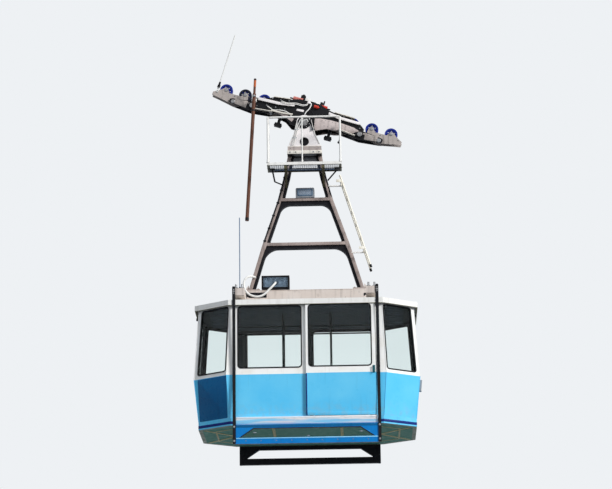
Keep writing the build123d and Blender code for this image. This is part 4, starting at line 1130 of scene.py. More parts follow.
@dataclass
class Underside(Assembly):
    """Belly seams, sill rivets, guide frame stiffeners and the pins of the tie straps."""

    seam_inset: float = 330
    seam_pitch: float = 130
    rivet_radius: float = 10
    cross_x: float = 700
    cross_rivets: Sequence[float] = tuple(range(-760, 761, 152))
    drains: Outline = ((-1100, 420), (1100, 420), (-1100, -420), (1100, -420), (0, 0))
    strap_x: float = 1475
    strap_y: float = 1297
    guide_y: float = 1242
    guide_face: float = 1283
    guide_foot: float = -7280

    def build(self) -> None:
        """Builds the pieces under and around the floor."""
        seams, heads = Shape(), Shape()
        z = PLAN.foot - 2
        for a, b in pairs([Vector((*p, z)) for p in PLAN.corners(PLAN.foot, -self.seam_inset)]):
            self.seam(seams, heads, (a, b), (34, 6), int((b - a).length // self.seam_pitch))
        for x in HANDS:
            for y in HANDS:
                ends = Vector((x * 2110, y * 690, z)), Vector((x * 1500, 0, z))
                self.seam(seams, heads, ends, (70, 8), 6)
            cross = x * self.cross_x
            seams.bar((cross, -870, z), (cross, 870, z), 60, 5)
            heads.rivets([(cross, y, z - 2.5) for y in self.cross_rivets], DOWN, self.rivet_radius)
        self.put(seams, "belly_seams", "seam_sealant", "belly_paint")
        for x, y in self.drains:
            heads.turned([(0, 12), (26, 12), (34, 6), (36, 0)], (x, y, PLAN.foot), DOWN, 24)
        self.put(heads, "belly_rivets", "galvanised_steel", "steel")
        self.guide_gear()
        self.sill_gear()

    def seam(self, seams: Shape, heads: Shape, ends: tuple[Vector, Vector],
             size: tuple[float, float], count: int) -> None:
        """Lays one sealed seam of the belly with a row of rivets down its middle.

        Args:
            seams: Shape that takes the seam.
            heads: Shape that takes the rivets.
            ends: Middle of the seam's two ends.
            size: Its width and height.
            count: How many rivets it has.
        """
        start, run = ends[0], ends[1] - ends[0]
        wide, tall = size
        seams.bar(*ends, wide, tall)
        heads.rivets([start + run * ((k + 0.5) / count) + Vector((0, 0, -tall / 2))
                      for k in range(count)], DOWN, self.rivet_radius)

    def guide_gear(self) -> None:
        """Stiffening lips and strips on the guide frames, and the pins through the straps; one
        strip is painted shadow under the sill, the other a painted highlight on the lower bar's top
        edge.
        """
        lips, pins, edges, shade = Shape(), Shape(), Shape(), Shape()
        foot = PLAN.foot
        for hand in HANDS:
            out, y = (0, hand, 0), hand * self.guide_y
            for x in HANDS:
                lips.bar((x * 1084, y, foot - 76), (x * 1379, y, -7216), 72, 10,
                         up=(x * 0.68, 0, 0.73))
                for z, size, tall in ((-4160, 20, 14), (foot - 45, 20, 14),
                                      (self.guide_foot, 20, 14), (-4120, 13, 9), (-4200, 13, 9)):
                    pins.bolt((x * self.strap_x, hand * self.strap_y, z), out, size, tall)
            for half, z in ((1090, foot - 75), (1384, -7212)):
                lips.bar((-half, y, z), (half, y, z), 72, 10)
            # edges is a pale painted highlight on the lower bar's top edge, shade a dark painted
            # shadow under the sill
            for strip, z, wide, tall in ((edges, -7228, 5, 20), (shade, foot - 34, 4, 52)):
                strip.bar((-1440, hand * self.guide_face, z), (1440, hand * self.guide_face, z),
                          wide, tall)
            pins.bolts([(x, hand * 1282, self.guide_foot) for x in range(-1240, 1241, 310)],
                       out, 9, 6)
        self.put(shade, "guide_painted_shadow_strips", "deep_blue_and_painted_shade", "deep_blue_paint")
        self.put(edges, "guide_highlight_strips", "pale_blue_highlight", "blue_paint")
        self.put(lips, "guide_frame_lips", "guide_black", "dark_steel")
        self.put(pins, "strap_pins", "rolled_steel", "steel")

    def sill_gear(self) -> None:
        """Countersunk rivets and wearing strips along the door sills."""
        strips = Shape()
        front = -(PLAN.wide_at(PLAN.foot) + 70)
        for z, tall in ((-6806, 22), (-6926, 16)):
            strips.bar((-1430, front - 2, z), (1430, front - 2, z), 5, tall)
        strips.rivets([(x, front - 0.5, -6866) for x in range(-1380, 1376, 145)], TOWARD, 9)
        strips.twin()
        self.put(strips, "sill_strips", "scuffed_sill", "aluminium")


@dataclass
class Interior(Assembly):
    """What the windows show: slats of the dark ceiling and lined posts, their near-black partly
    paint and partly painted shade of the inside.
    """

    slat_pitch: float = 150
    slat_half: float = 2080
    corner_normal: tuple[float, float] = (0.5683, 0.8229)
    corner_reach: float = 1957.8
    roof_share: float = 0.94

    def build(self) -> None:
        """Builds the inside."""
        slats, posts = Shape(), Shape()
        z = PLAN.roof - 96
        nx, ny = self.corner_normal
        for k in range(-7, 8):
            y = k * self.slat_pitch
            corner = (self.corner_reach * self.roof_share - ny * abs(y)) / nx
            reach = min(self.slat_half, corner) - 40
            slats.bar((-reach, y, z), (reach, y, z), 46, 12, soften=3)
        self.put(slats, "ceiling_slats", "slat_enamel", "dark_steel")
        levels = (PLAN.roof - 92, PLAN.belt, PLAN.sill + 22)
        for i in range(PLAN.SIDES):
            posts.tube([(*PLAN.corners(h, -58)[i], h) for h in levels], 26, 10)
        belt = [Vector((*p, PLAN.belt + 30)) for p in PLAN.corners(PLAN.belt, -46)]
        for i, (a, b) in enumerate(pairs(belt)):
            if i in PLAN.LONG_SIDES:
                side = 1 if a.y < 0 else -1
                a, b = Vector((-side * 1560, a.y, a.z)), Vector((side * 20, a.y, a.z))
            posts.bar(a, b, 12, 90)
        self.put(posts, "lining_posts", "ceiling_paint_and_shade", "dark_steel")


@dataclass
class Doors(Assembly):
    """Gasket, edge rubber and kick strip of the two sliding leaves."""

    window: Outline = rectangle(50, -5769, 1340, -4455)
    edge: Outline = rectangle(-9, -866, 14, -6)
    kick: Outline = rectangle(20, -873, 1404, -800)
    rivet_rows: Outline = ((-834, 58.5), (-44, 56))

    def build(self) -> None:
        """Builds the same trim on both leaves."""
        low = NEAR.plane(upper=False)
        for body, side in ((Body.DOOR_NEAR, "near"), (Body.DOOR_FAR, "far")):
            seal, edge, metal = Shape(), Shape(), Shape()
            flat = [(x, NEAR.rise(z)) for x, z in self.window]
            seal.gasket(flat, NEAR.plane(), 8, 27, 42.5, 62, 70)
            edge.plate(self.edge, low, 30, 61, soften=3)
            metal.plate(self.kick, low, 55.5, 58.5, soften=1)
            for x in range(60, 1361, 130):
                metal.rivets([low @ Vector((x, v, out)) for v, out in self.rivet_rows], TOWARD, 8)
            for shape, name, finish, slot in (
                    (seal, "gasket", "black_rubber", "dark_steel"),
                    (metal, "kick_strip", "door_skin", "blue_paint"),
                    (edge, "edge_rubber", "navy_line", "dark_steel")):
                if body is Body.DOOR_FAR:
                    shape.half_turn()
                self.put(shape, f"door_{name}_{side}", finish, slot, body)


@dataclass
class Roof(Assembly):
    """Seams and treads of the roof crown, and the gussets and pads of its beams."""

    beam_z: float = -4235
    strap_x: float = 1475
    leg_x: float = 1255
    beam_half: float = 1470
    tread_half: float = 1180
    tread_bars: Sequence[float] = tuple(range(-1130, 1125, 98))
    pads: Sequence[Point] = ((-1384, -4012, -842, -3898), (1206, -4058, 1362, -3946))

    def build(self) -> None:
        """Builds the roof's pieces."""
        seams, treads = Shape(), Shape()
        low = [(*p, PLAN.roof + 3) for p in PLAN.corners(PLAN.roof, 78)]
        high = [(*p, PLAN.roof + 97) for p in PLAN.corners(PLAN.roof + 95, -518)]
        for foot, (top, after) in zip(low, pairs(high)):
            seams.bar(foot, top, 26, 9, soften=2.5)
            seams.bar(top, after, 22, 7)
        self.put(seams, "roof_seams", "roof_enamel", "white_paint")
        for y in (-430, 430):
            treads.plate(tile(-self.tread_half, y - 120, self.tread_half, y + 120, 30),
                         Matrix.Translation((0, 0, self.beam_z)), 0, 4)
            for x in self.tread_bars:
                treads.bar((x, y - 100, self.beam_z + 4), (x, y + 100, self.beam_z + 4), 14, 6)
        self.put(treads, "roof_treads", "floor_rubber", "floor_grey")
        self.beam_trim()

    def beam_trim(self) -> None:
        """Gussets, straps and edge strips of the beams, and the bolted pads on their sides, black
        as painted shadow under the hanger's feet.
        """
        gussets, pads = Shape(), Shape()
        for x in HANDS:
            for y in HANDS:
                leg = plane_at((x * self.leg_x, y * 150, -4085), (-x, 0, 0), UP, (0, x * y, 0))
                gussets.plate([(0, 0), (150, 0), (0, 95)], leg, -6, 6)
                foot = plane_at((x * 1222, y * 60, -3825), (x * 0.62, 0, 0), UP, (0, -x, 0))
                gussets.plate([(0, 0), (150, 0), (0, 110)], foot, -6, 6)
                z = self.beam_z + 6
                gussets.bar((x * self.strap_x, y * 1284, z), (x * self.leg_x, y * 1284, z), 5, 12)
        for y in (-139, 139):
            for z in (-4079, -3856):
                gussets.bar((-self.beam_half, y, z), (self.beam_half, y, z), 16, 12)
        # pads: black plates on the beams' sides that stand for the shadow under the hanger's feet
        for x0, z0, x1, z1 in self.pads:
            pads.plate(tile(x0, z0, x1, z1, 12), SIDE_VIEW, 139, 145, soften=2)
            pads.bolts([(x, -145, z) for x in (x0 + 24, x1 - 24) for z in (z0 + 22, z1 - 22)],
                       TOWARD, 8, 6)
        pads.twin()
        self.put(pads, "beam_shadow_pads", "machine_black", "dark_steel")
        self.put(gussets, "beam_gussets", "cream_enamel_dusty", "cream_paint")


@dataclass
class Hanger(Assembly):
    """Two spread legs and two crossbars: a box web painted near-black as shade of its recess, with
    proud, paler edge strips.
    """

    outer: Outline = ((367, -886), (457, -1350), (597, -1885), (932, -2860), (1222, -3825))
    leg: float = 130
    web: float = 62
    face: float = 100
    crossbars: Sequence[float] = (-1815, -2800)
    crossbar_tall: float = 66
    # height, then how far inside the leg's outer edge the strip begins and ends
    strip: Sequence[Point] = (
        (-886, 0, 80), (-1170, 0, 76), (-1260, 36, 76), (-1740, 36, 76), (-1840, 0, 84),
        (-1885, 0, 76), (-2750, 0, 72), (-2860, 0, 92), (-2960, 0, 80), (-3120, 0, 72),
        (-3825, 0, 70))

    def across(self, z: float, inset: float) -> float:
        """X of the line that runs inset inside a leg's outer edge, at a height."""
        line = []
        for i, (x, level) in enumerate(self.outer):
            a, b = self.outer[max(i - 1, 0)], self.outer[min(i + 1, len(self.outer) - 1)]
            line.append((x - inset / cos(atan2(b[0] - a[0], a[1] - b[1])), level))
        for (xa, za), (xb, zb) in zip(line, line[1:]):
            if zb <= z <= za:
                return xa + (xb - xa) * (za - z) / (za - zb)
        return line[-1][0]

    def bay(self, top: float, foot: float, round_top: float,
            round_foot: float) -> list[tuple[float, float]]:
        """Opening between the legs, from top down to foot, with rounded corners."""
        levels = [top] + [z for _, z in self.outer if foot < z < top] + [foot]
        left = [(-self.across(z, self.leg), z) for z in levels]
        right = [(self.across(z, self.leg), z) for z in reversed(levels)]
        radii = [round_top] + [0] * (len(levels) - 2) + [round_foot]
        return rounded(left + right, radii + radii[::-1])

    def build(self) -> None:
        """Builds the web, the edge strips and the cable pipe."""
        web, strips = Shape(), Shape()
        right = [*self.outer, *((self.across(z, self.leg), z) for z in (-3825, -2930))]
        edge = rounded(right + [(-x, z) for x, z in reversed(right)],
                       [0] * 6 + [300, 300] + [0] * 6)
        holes = [self.bay(-904, -1815, 60, 45), self.bay(-1960, -2800, 230, 45)]
        web.plate(edge, SIDE_VIEW, -self.web, self.web, holes=holes, soften=0)
        self.put(web, "hanger_web", "hanger_web_painted_shade", "hanger_paint", replaces=["hanger_frame"])
        for leg in HANDS:
            band = [(leg * self.across(z, a), z) for z, a, _ in self.strip] \
                + [(leg * self.across(z, b), z) for z, _, b in reversed(self.strip)]
            for hand in HANDS:
                strips.plate(band, SIDE_VIEW, *proud(hand, self.web, self.face), soften=2)
        for top in self.crossbars:
            half = self.across(top - self.crossbar_tall / 2, 74)
            for hand in HANDS:
                strips.plate(rectangle(-half, top - self.crossbar_tall, half, top), SIDE_VIEW,
                             *proud(hand, self.web, self.face - 1), soften=2)
        self.put(strips, "hanger_strips", "hanger_enamel", "hanger_paint",
                 replaces=["hanger_frame"])
        self.cable_pipe()

    def cable_pipe(self) -> None:
        """Dark steel cable pipe clipped to the left leg's outer edge."""
        pipe = Shape()
        y = -self.face - 17
        pipe.tube([(-self.across(z, 16), y, z) for z in (-1010, -1350, -1885, -2400, -2780)], 16)
        for z in range(-1080, -2780, -280):
            x = -self.across(z, 16)
            pipe.bar((x - 26, y + 4, z), (x + 34, y + 4, z), 26, 30)
            pipe.bolt((x + 26, y - 8, z), TOWARD, 9)
        self.put(pipe, "leg_cable_pipe", "machine_black", "dark_steel")


@dataclass
class Head(Assembly):
    """Bell-shaped head: edge ribs, bearing covers, rings of the hole, flange lip and bolts."""

    face: float = 260
    bell: Outline = ((-322, -655), (-222, -428), (-160, -178))
    cover: Outline = ((84, 0), (84, 20), (96, 26), (128, 26), (140, 16), (142, 0))
    cover_bolts: float = 118
    # the first points are a disc set back in the hole, black as painted shade of its dark recess
    hole_ring: Outline = ((0, -26), (70, -26), (77, -20), (77, 12), (84, 14), (94, 10), (96, 0))
    hole_z: float = -605
    flange_z: float = -846

    def build(self) -> None:
        """Builds the head's pieces."""
        ribs, dark, lip, heads = Shape(), Shape(), Shape(), Shape()
        pin_z = -PIN_DROP
        for hand in HANDS:
            out = (0, hand, 0)
            for side in HANDS:
                points = [Vector((side * -x, hand * (self.face + 5), z)) for x, z in self.bell]
                for a, b in zip(points, points[1:]):
                    ribs.bar(a, b, 16, 20, up=(0, 1, 0))
            dark.turned(self.cover, (0, hand * self.face, pin_z), out, 40)
            dark.turned(self.hole_ring, (0, hand * self.face, self.hole_z), out, 36)
            turns = [pi / 8 + k * pi / 4 for k in range(8)]
            heads.bolts([(self.cover_bolts * cos(turn), hand * (self.face + 25),
                          pin_z + self.cover_bolts * sin(turn)) for turn in turns], out, 11, 8)
            for half, y, z, wide, tall in ((372, 279, self.flange_z, 12, 76),
                                           (366, 264, -715, 26, 12)):
                lip.bar((-half, hand * y, z), (half, hand * y, z), wide, tall)
            heads.bolts([(x, hand * 284, self.flange_z) for x in (-310, -190, 190, 310)],
                        out, 15, 11)
            heads.bolts([(x, hand * 272, -757) for x in (-300, 300)], out, 12, 9)
        for x in (-367, 367):
            lip.bar((x, -272, self.flange_z), (x, 272, self.flange_z), 12, 76)
        self.put(ribs, "bell_ribs", "white_enamel", "white_paint")
        self.put(dark, "bearing_covers", "machine_black", "dark_steel")
        self.put(lip, "flange_lip", "cream_enamel", "cream_paint")
        self.put(heads, "head_bolts", "rolled_steel", "steel")
        self.grease_pipes()

    def grease_pipes(self) -> None:
        """Bent white pipes up the bell's edge to the bearing, their clips and the dark feed."""
        pipes, feed, clips = Shape(), Shape(), Shape()
        front = -self.face - 26
        for shift, top in ((0, -60), (34, -110)):
            pipes.pipe([(-262 + shift, front, -690), (-232 + shift, front, -560),
                        (-178 + shift, front, -360), (-120 + shift, front, -200 - shift),
                        (-60 + shift, front, top - 40), (20 + shift, front, top),
                        (96 - shift, front, top - 10), (120 - shift, front + 8, top - 60)],
                       8.5, 10)
        self.put(pipes, "grease_pipes", "white_hose", "white_paint")
        feed.pipe([(176, front, -340), (158, front, -232), (134, front, -128),
                   (146, front, -62), (132, front + 6, -34), (118, front + 24, -44)], 13)
        feed.turned([(13, 0), (22, 0), (22, 26), (13, 30)], (176, front, -352), (0.15, 0, 1), 16)
        self.put(feed, "feed_pipe", "black_rubber", "dark_steel")
        clips.bar((150, front + 12, -300), (196, front + 12, -352), 10, 40)
        for x, z in ((-215, -520), (-160, -330)):
            clips.bar((x - 34, front + 12, z), (x + 46, front + 12, z), 10, 26)
            clips.bolt((x - 26, front + 6, z), TOWARD, 8)
        self.put(clips, "pipe_clips", "galvanised_steel", "steel")


@dataclass
class Platform(Assembly):
    """Open grating, rail sockets and braces of the work platform, and its ladder's collars."""

    half: float = 744
    front: float = -704
    rear: float = -221
    top: float = -1221
    under: float = -1281
    bar_pitch: float = 46
    rod_pitch: float = 84
    rail_foot: float = -1215
    post: tuple[float, float] = (-40, -728)
    ladder_top: Point = (750, 0, -1440)
    ladder_foot: Point = (1375, 0, -3470)

    def build(self) -> None:
        """Builds the platform's pieces."""
        grate = Shape()
        count = int(2 * self.half // self.bar_pitch)
        z = self.top - 14
        for k in range(count + 1):
            x = 5 - self.half + k * (2 * self.half - 10) / count
            grate.bar((x, self.front, z), (x, self.rear, z), 6, 28, soften=0)
        for k in range(6):
            y = self.front + 30 + k * self.rod_pitch
            grate.rod((-self.half, y, self.top - 5), (self.half, y, self.top - 5), 5, 6)
        for y in (self.front + 3, self.rear - 3):
            grate.bar((-self.half, y, z), (self.half, y, z), 6, 28)
        self.put(grate, "deck_grating", "grating_steel", "grating", replaces=["platform_deck"])
        self.rail_sockets()
        self.braces()
        self.ladder_gear()

    def rail_sockets(self) -> None:
        """Sockets that the posts of the guard rail stand in, and the middle post's two ends."""
        sockets = Shape()
        for x in (-768, 768):
            for y in (-728, -305):
                sockets.turned([(21, 0), (36, 0), (36, 8), (27, 14), (27, 62), (21, 66)],
                               (x, y, self.rail_foot), UP, 20)
        sockets.turned([(14, 0), (26, 0), (26, 8), (18, 12), (18, 44), (14, 46)],
                       (*self.post, self.rail_foot), UP, 16)
        sockets.turned([(14, -60), (20, -56), (20, -24), (14, -20)], (*self.post, -206), UP, 16)
        self.put(sockets, "rail_sockets", "white_enamel", "white_paint")

    def braces(self) -> None:
        """Bars and bolted plates that carry the platform from the hanger's legs."""
        braces = Shape()
        leg = -100
        braces.bar((-690, -420, -1275), (-640, -330, -1520), 34, 16, up=(0, 1, 0))
        braces.bar((-642, -335, -1518), (-492, leg, -1518), 34, 16)
        braces.bar((690, -330, -1275), (486, leg - 4, -1440), 30, 14, up=(0, 1, 0))
        braces.bar((-770, -480, self.under), (770, -480, self.under), 40, 8)
        for x in (-690, 690):
            braces.plate(tile(x - 60, -540, x + 60, -260, 14),
                         Matrix.Translation((0, 0, self.under)), -4, 4)
            braces.bolts([(x, y, -1285) for y in (-500, -300)], DOWN, 12)
        self.put(braces, "platform_braces", "machine_black", "dark_steel")

    def ladder_gear(self) -> None:
        """Collars where the rungs go through the stringers, stops on the clamps, rubber feet."""
        collars, feet = Shape(), Shape()
        top, foot = Vector(self.ladder_top), Vector(self.ladder_foot)
        run = foot - top
        way = run.normalized()
        for part in (0.06, 0.79):
            at = top + run * part
            collars.bar((at.x - 118, -464, at.z), (at.x - 8, -464, at.z), 8, 60)
        for stringer in (Vector((0, -450, 0)), Vector((0, -110, 0))):
            for k in range(7):
                at = top + run * ((k + 0.6) / 7) + stringer
                collars.rod(at - Vector((0, 24, 0)), at + Vector((0, 24, 0)), 19, 14, soften=2)
            end, start = foot + stringer, top + stringer
            feet.rod(end - way * 62, end + way * 3, 26, 16, soften=3)
            collars.rod(start - way * 3, start + way * 24, 23, 16, soften=3)
        self.put(feet, "ladder_feet", "black_rubber", "dark_steel")
        self.put(collars, "ladder_collars", "ladder_enamel", "cream_paint")


@dataclass
class Fittings(Assembly):
    """Glass of the work lamp, the mesh box with its horn and panel, and the bent conduit."""

    lamp: Outline = rectangle(-170, -1780, 160, -1628)
    box: tuple[float, float, float, float] = (-925, -3792, -385, -3553)
    mesh_wire: float = 3.5
    conduit: Sequence[Point] = (
        (-1085, -90, -3560), (-1102, -170, -3562), (-1190, -262, -3574), (-1264, -300, -3616),
        (-1308, -300, -3690), (-1316, -300, -3770), (-1288, -300, -3875), (-1212, -300, -3968),
        (-1096, -300, -4019), (-979, -300, -4021), (-875, -300, -3970), (-786, -300, -3881),
        (-712, -298, -3804), (-668, -250, -3745), (-655, -180, -3704), (-655, -125, -3682))

    def build(self) -> None:
        """Builds the fittings."""
        self.work_lamp()
        self.mesh_box()

    def work_lamp(self) -> None:
        """Bezel and cooling fins of the lamp, and its glass with moulded flutes."""
        bezel, glass = Shape(), Shape()
        bezel.gasket(self.lamp, SIDE_VIEW, 0, 26, 116, 130, 14)
        for x in range(-165, 156, 40):
            bezel.bar((x, -95, -1599), (x, 95, -1599), 8, 22)
        self.put(bezel, "work_lamp_bezel", "box_grey", "grey_paint")
        glass.plate(self.lamp, SIDE_VIEW, 119, 123, soften=0)
        for x in range(-155, 143, 27):
            glass.rod((x, -123, -1776), (x, -123, -1632), 5, 8)
        self.put(glass, "work_lamp_glass", "fluted_glass", "grey_paint")

    def mesh_box(self) -> None:
        """Wire mesh, frame, horn and inner panel of the box, and the conduit that runs into it."""
        mesh, dark, loop, panel = Shape(), Shape(), Shape(), Shape()
        x0, z0, x1, z1 = self.box
        frame_edge = rectangle(*self.box)
        for k in range(1, 20):
            x = x0 + (x1 - x0) * k / 20
            mesh.rod((x, -118, z0), (x, -118, z1), self.mesh_wire, 6)
        for k in range(1, 9):
            z = z0 + (z1 - z0) * k / 9
            mesh.rod((x0, -113, z), (x1, -113, z), self.mesh_wire, 6)
        self.put(mesh, "box_mesh", "mesh_wire", "steel")
        dark.gasket(frame_edge, SIDE_VIEW, 4, 16, 124, 131, 10)
        dark.turned([(0, 14), (26, 16), (44, 34), (62, 72), (66, 72), (50, 30), (46, 0)],
                    (-655, -34, -3672), TOWARD, 28)
        loop.pipe(self.conduit, 22, 16)
        self.put(loop, "conduit_loop", "white_hose", "white_paint", replaces=["conduit"])
        dark.bolts([(x, -125, z) for x in (-940, -370) for z in (-3800, -3545)], TOWARD, 7)
        dark.turned([(11, 120), (16, 118), (20, 70), (30, 62), (36, 20), (36, 0)],
                    (-1368, -900, -4085), UP, 24)
        self.put(dark, "box_horn", "strap_black", "dark_steel")
        panel.plate(grown_outline(frame_edge, -6), SIDE_VIEW, 34, 42)
        for x in (-860, -450):
            panel.bar((x, -52, z0 + 30), (x, -52, z1 - 30), 60, 22, up=(0, 1, 0))
        self.put(panel, "box_panel", "box_grey", "grey_paint")


@dataclass
class Arms(Assembly):
    """Carriage arms: rivets, web plates, hub rings, pipes, brake fittings and clamp bolts."""

    BODY = Body.CARRIAGE

    side: float = 165
    web_face: float = 187
    web: Outline = ((186, 6), (300, 40), (517, 60), (760, 60), (1060, 34), (1186, -12),
                    (1060, -92), (800, -96), (640, -142), (492, -152), (262, -258), (226, -180))
    left_web: Outline = ((-735, -76), (-420, -138), (-272, -196), (-250, -120), (-420, -72),
                         (-700, -40))
    bolt_places: Outline = (
        (-820, 205), (-640, 225), (-460, 248), (-900, 20), (-700, 30), (-500, 40), (600, 222),
        (780, 218), (960, 212), (-1180, 10), (-1100, -50), (1180, 60), (1230, -40))
    hub_ring: Outline = ((32, 0), (54, 0), (54, 8), (46, 14), (32, 14))
    hub: tuple[float, float] = (1210, -65)
    # middle line and height of the pale caps on the two upper ribs
    rib_lines: Sequence[tuple[Outline, float]] = (
        (((-1110, 106), (-666, 121), (-315, 175)), 62),
        (((447, 195), (679, 157), (1150, 150)), 58))
    middle_cap: Outline = ((-248, 72), (-92, 84), (-92, 132), (-248, 118))
    balance_pad: Outline = ((1316, 12), (1612, -18), (1596, -116), (1330, -142))
    pad_face: float = 118

    def rivet_places(self) -> list[tuple[float, float]]:
        """Rivets of the web plate: two rows that follow its edges, one row at its ends."""
        made = []
        for s in range(350, 1040, 76):
            for n in ((-6, -84) if 380 < s < 1000 else (-30,)):
                upper = n > -50
                lift = (30 if s < 700 else 12) if upper else 0
                made.append((s, n * (1.2 if not upper and s < 560 else 0.75) + lift))
        return made

    def build(self) -> None:
        """Builds the pieces on the carriage."""
        webs, heads, caps, pads = Shape(), Shape(), Shape(), Shape()
        for hand in HANDS:
            out, face = (0, hand, 0), hand * self.side
            webs.plate(self.web, CARRIAGE_VIEW, *proud(hand, 164, self.web_face))
            webs.plate(self.left_web, CARRIAGE_VIEW, *proud(hand, 164, 172))
            heads.rivets([on_rope(s, n, hand * self.web_face) for s, n in self.rivet_places()],
                         out, 9)
            heads.bolts([on_rope(s, n, face) for s, n in self.bolt_places], out, 13, 10)
            for end in HANDS:
                heads.turned(self.hub_ring, on_rope(end * self.hub[0], self.hub[1], face), out, 28)
            for line, thick in self.rib_lines:
                edge = [(s, n + thick / 2) for s, n in line] \
                    + [(s, n - thick / 2) for s, n in reversed(line)]
                caps.plate(edge, CARRIAGE_VIEW, *proud(hand, 205, 210))
            caps.plate(tile(-66, 296, 6, 348, 10), CARRIAGE_VIEW, *proud(hand, self.side, 196))
            caps.plate(rounded(self.middle_cap, (8,) * 4), CARRIAGE_VIEW,
                       *proud(hand, self.side, 176))
            for end in HANDS:
                outline = rounded([(end * s, n) for s, n in self.balance_pad], (14,) * 4)
                pads.plate(outline, CARRIAGE_VIEW, *proud(hand, 112, self.pad_face))
                pads.rivets([on_rope(end * s, -64, hand * self.pad_face)
                             for s in (1350, 1470, 1580)], out, 11)
        for shape, name, finish, slot in ((pads, "balance_pads", "bogie_enamel", "grey_paint"),
                                          (caps, "rib_caps", "head_enamel", "white_paint"),
                                          (webs, "web_plates", "web_enamel", "cream_paint"),
                                          (heads, "arm_bolts", "rolled_steel", "steel")):
            self.put(shape, name, finish, slot)
        self.bogie_gear()
        self.brake_springs()
        self.brake_levers()
        self.brake_pipes()
        self.rope_gear()

    def bogie_gear(self) -> None:
        """Nuts on axles and spacers, washers on the pivots, and lower edge strips of the bogies."""
        nuts, strips = Shape(), Shape()
        runs = (((548, -48), (742, -88)), ((818, -88), (1000, -50)), ((1398, -50), (1590, -112)),
                ((1690, -112), (1948, -60)), ((1950, -58), (2112, -30)))
        for end in HANDS:
            for side in HANDS:
                out = (0, side, 0)
                for s in WHEEL_PLACES:
                    y73, y80, y92 = (on_rope(end * s, AXLE_N, side * y) for y in (73, 80, 92))
                    nuts.rod(y73, y80, 40, 20)
                    nuts.rod(y80, y92, 33, 6, soften=2)
                nuts.bolts([on_rope(end * s, n, side * 73)
                            for s, n in ((780, 62), (1640, 62), (2040, 52))], out, 15, 9)
                for s in (780, 1640):
                    nuts.turned([(24, 0), (46, 0), (46, 7), (34, 16), (24, 16)],
                                on_rope(end * s, -75, side * 113), out, 24)
                for run in runs:
                    strips.bar(*(on_rope(end * s, n, side * 76) for s, n in run), 8, 22)
                strips.bar(*(on_rope(end * s, -20, side * 116) for s in (820, 1600)), 7, 34)
        self.put(nuts, "bogie_nuts", "rolled_steel", "steel")
        self.put(strips, "bogie_strips", "bogie_enamel", "cream_paint")

    def brake_springs(self) -> None:
        """Coils round the brake's cylinders, and the two red end caps beside them."""
        pitch = 13
        for start, n, length, name in ((-395, 350, 200, "faded_red"), (200, 318, 165, "brake_red")):
            coils = Shape()
            steps = int(length // pitch)
            line = []
            for k in range(steps + 1):
                line += [(50, k * pitch), (57, k * pitch + 4), (57, k * pitch + 8)]
            coils.turned(line + [(50, steps * pitch + 12)], on_rope(start, n, -80), ALONG, 24)
            if name == "brake_red":
                for side in HANDS:
                    coils.turned([(0, 0), (34, 0), (34, 88), (26, 96), (16, 96), (16, 112),
                                  (0, 112)], on_rope(98, 262, side * 198), ALONG, 24)
            self.put(coils, f"brake_spring_{name}", name, "red_paint")

    def brake_levers(self) -> None:
        """Dark rods, levers, knobs and bolts of the track rope brake, and its oil pipe."""
        dark = Shape()
        dark.turned([(0, 34), (22, 32), (34, 18), (38, 0)], on_rope(-205, 490), NORMAL, 20)
        dark.rod(on_rope(-400, 350, -80), on_rope(-470, 350, -80), 16, 12)
        dark.rod(on_rope(370, 318, -80), on_rope(440, 318, -80), 16, 12)
        dark.bar(on_rope(-20, 300, -74), on_rope(60, 300, -74), 18, 120, up=NORMAL)
        for s in (-240, -90, 60, 220):
            for n in (110, 250):
                for side in HANDS:
                    dark.bolt(on_rope(s, n, side * 70), (0, side, 0), 14)
        dark.turned([(0, 20), (10, 18), (14, 0)], on_rope(265, 485), NORMAL, 14)
        dark.bar(on_rope(216, 340), on_rope(216, 456), 46, 60, up=ALONG)
        dark.pipe([on_rope(*p) for p in ((150, -190, -214), (178, -90, -214), (160, 30, -214),
                                         (96, 120, -214), (20, 150, -205), (-10, 200, -188))],
                  11, 10)
        self.put(dark, "brake_levers", "machine_black", "dark_steel")

    def brake_pipes(self) -> None:
        """White covers and pipes of the brake."""
        pale = Shape()
        pale.plate(tile(-138, 352, -24, 424, 8), CARRIAGE_VIEW, 70, 128)
        pale.plate(tile(100, 330, 176, 392, 8), CARRIAGE_VIEW, 70, 118)
        pale.bar(on_rope(10, 390), on_rope(10, 432), 60, 44, up=ALONG)
        pale.bar(on_rope(150, 370), on_rope(150, 482), 34, 30, up=ALONG)
        routes = [(13, 12, ((-22, 300, -198), (26, 290, -206), (14, 180, -208), (-30, 90, -208),
                            (-44, 30, -196), (-44, 10, -166))),
                  (11, 12, ((-880, 0, -180), (-800, -30, -186), (-728, -52, -190),
                            (-600, -26, -210), (-459, -18, -212), (-360, -50, -190),
                            (-310, -80, -178)))]
        for lift in (0, 26):
            routes.append((8, 10, ((-620, 158 + lift, -216), (-480, 150 + lift, -216),
                                   (-300, 196 + lift, -214), (-150, 206 + lift, -196),
                                   (-60, 250 + lift, -188), (-40, 330 + lift, -150),
                                   (-60, 380, -128))))
        for radius, sides, points in routes:
            pale.pipe([on_rope(*p) for p in points], radius, sides)
        self.put(pale, "brake_pipes", "white_enamel", "white_paint")

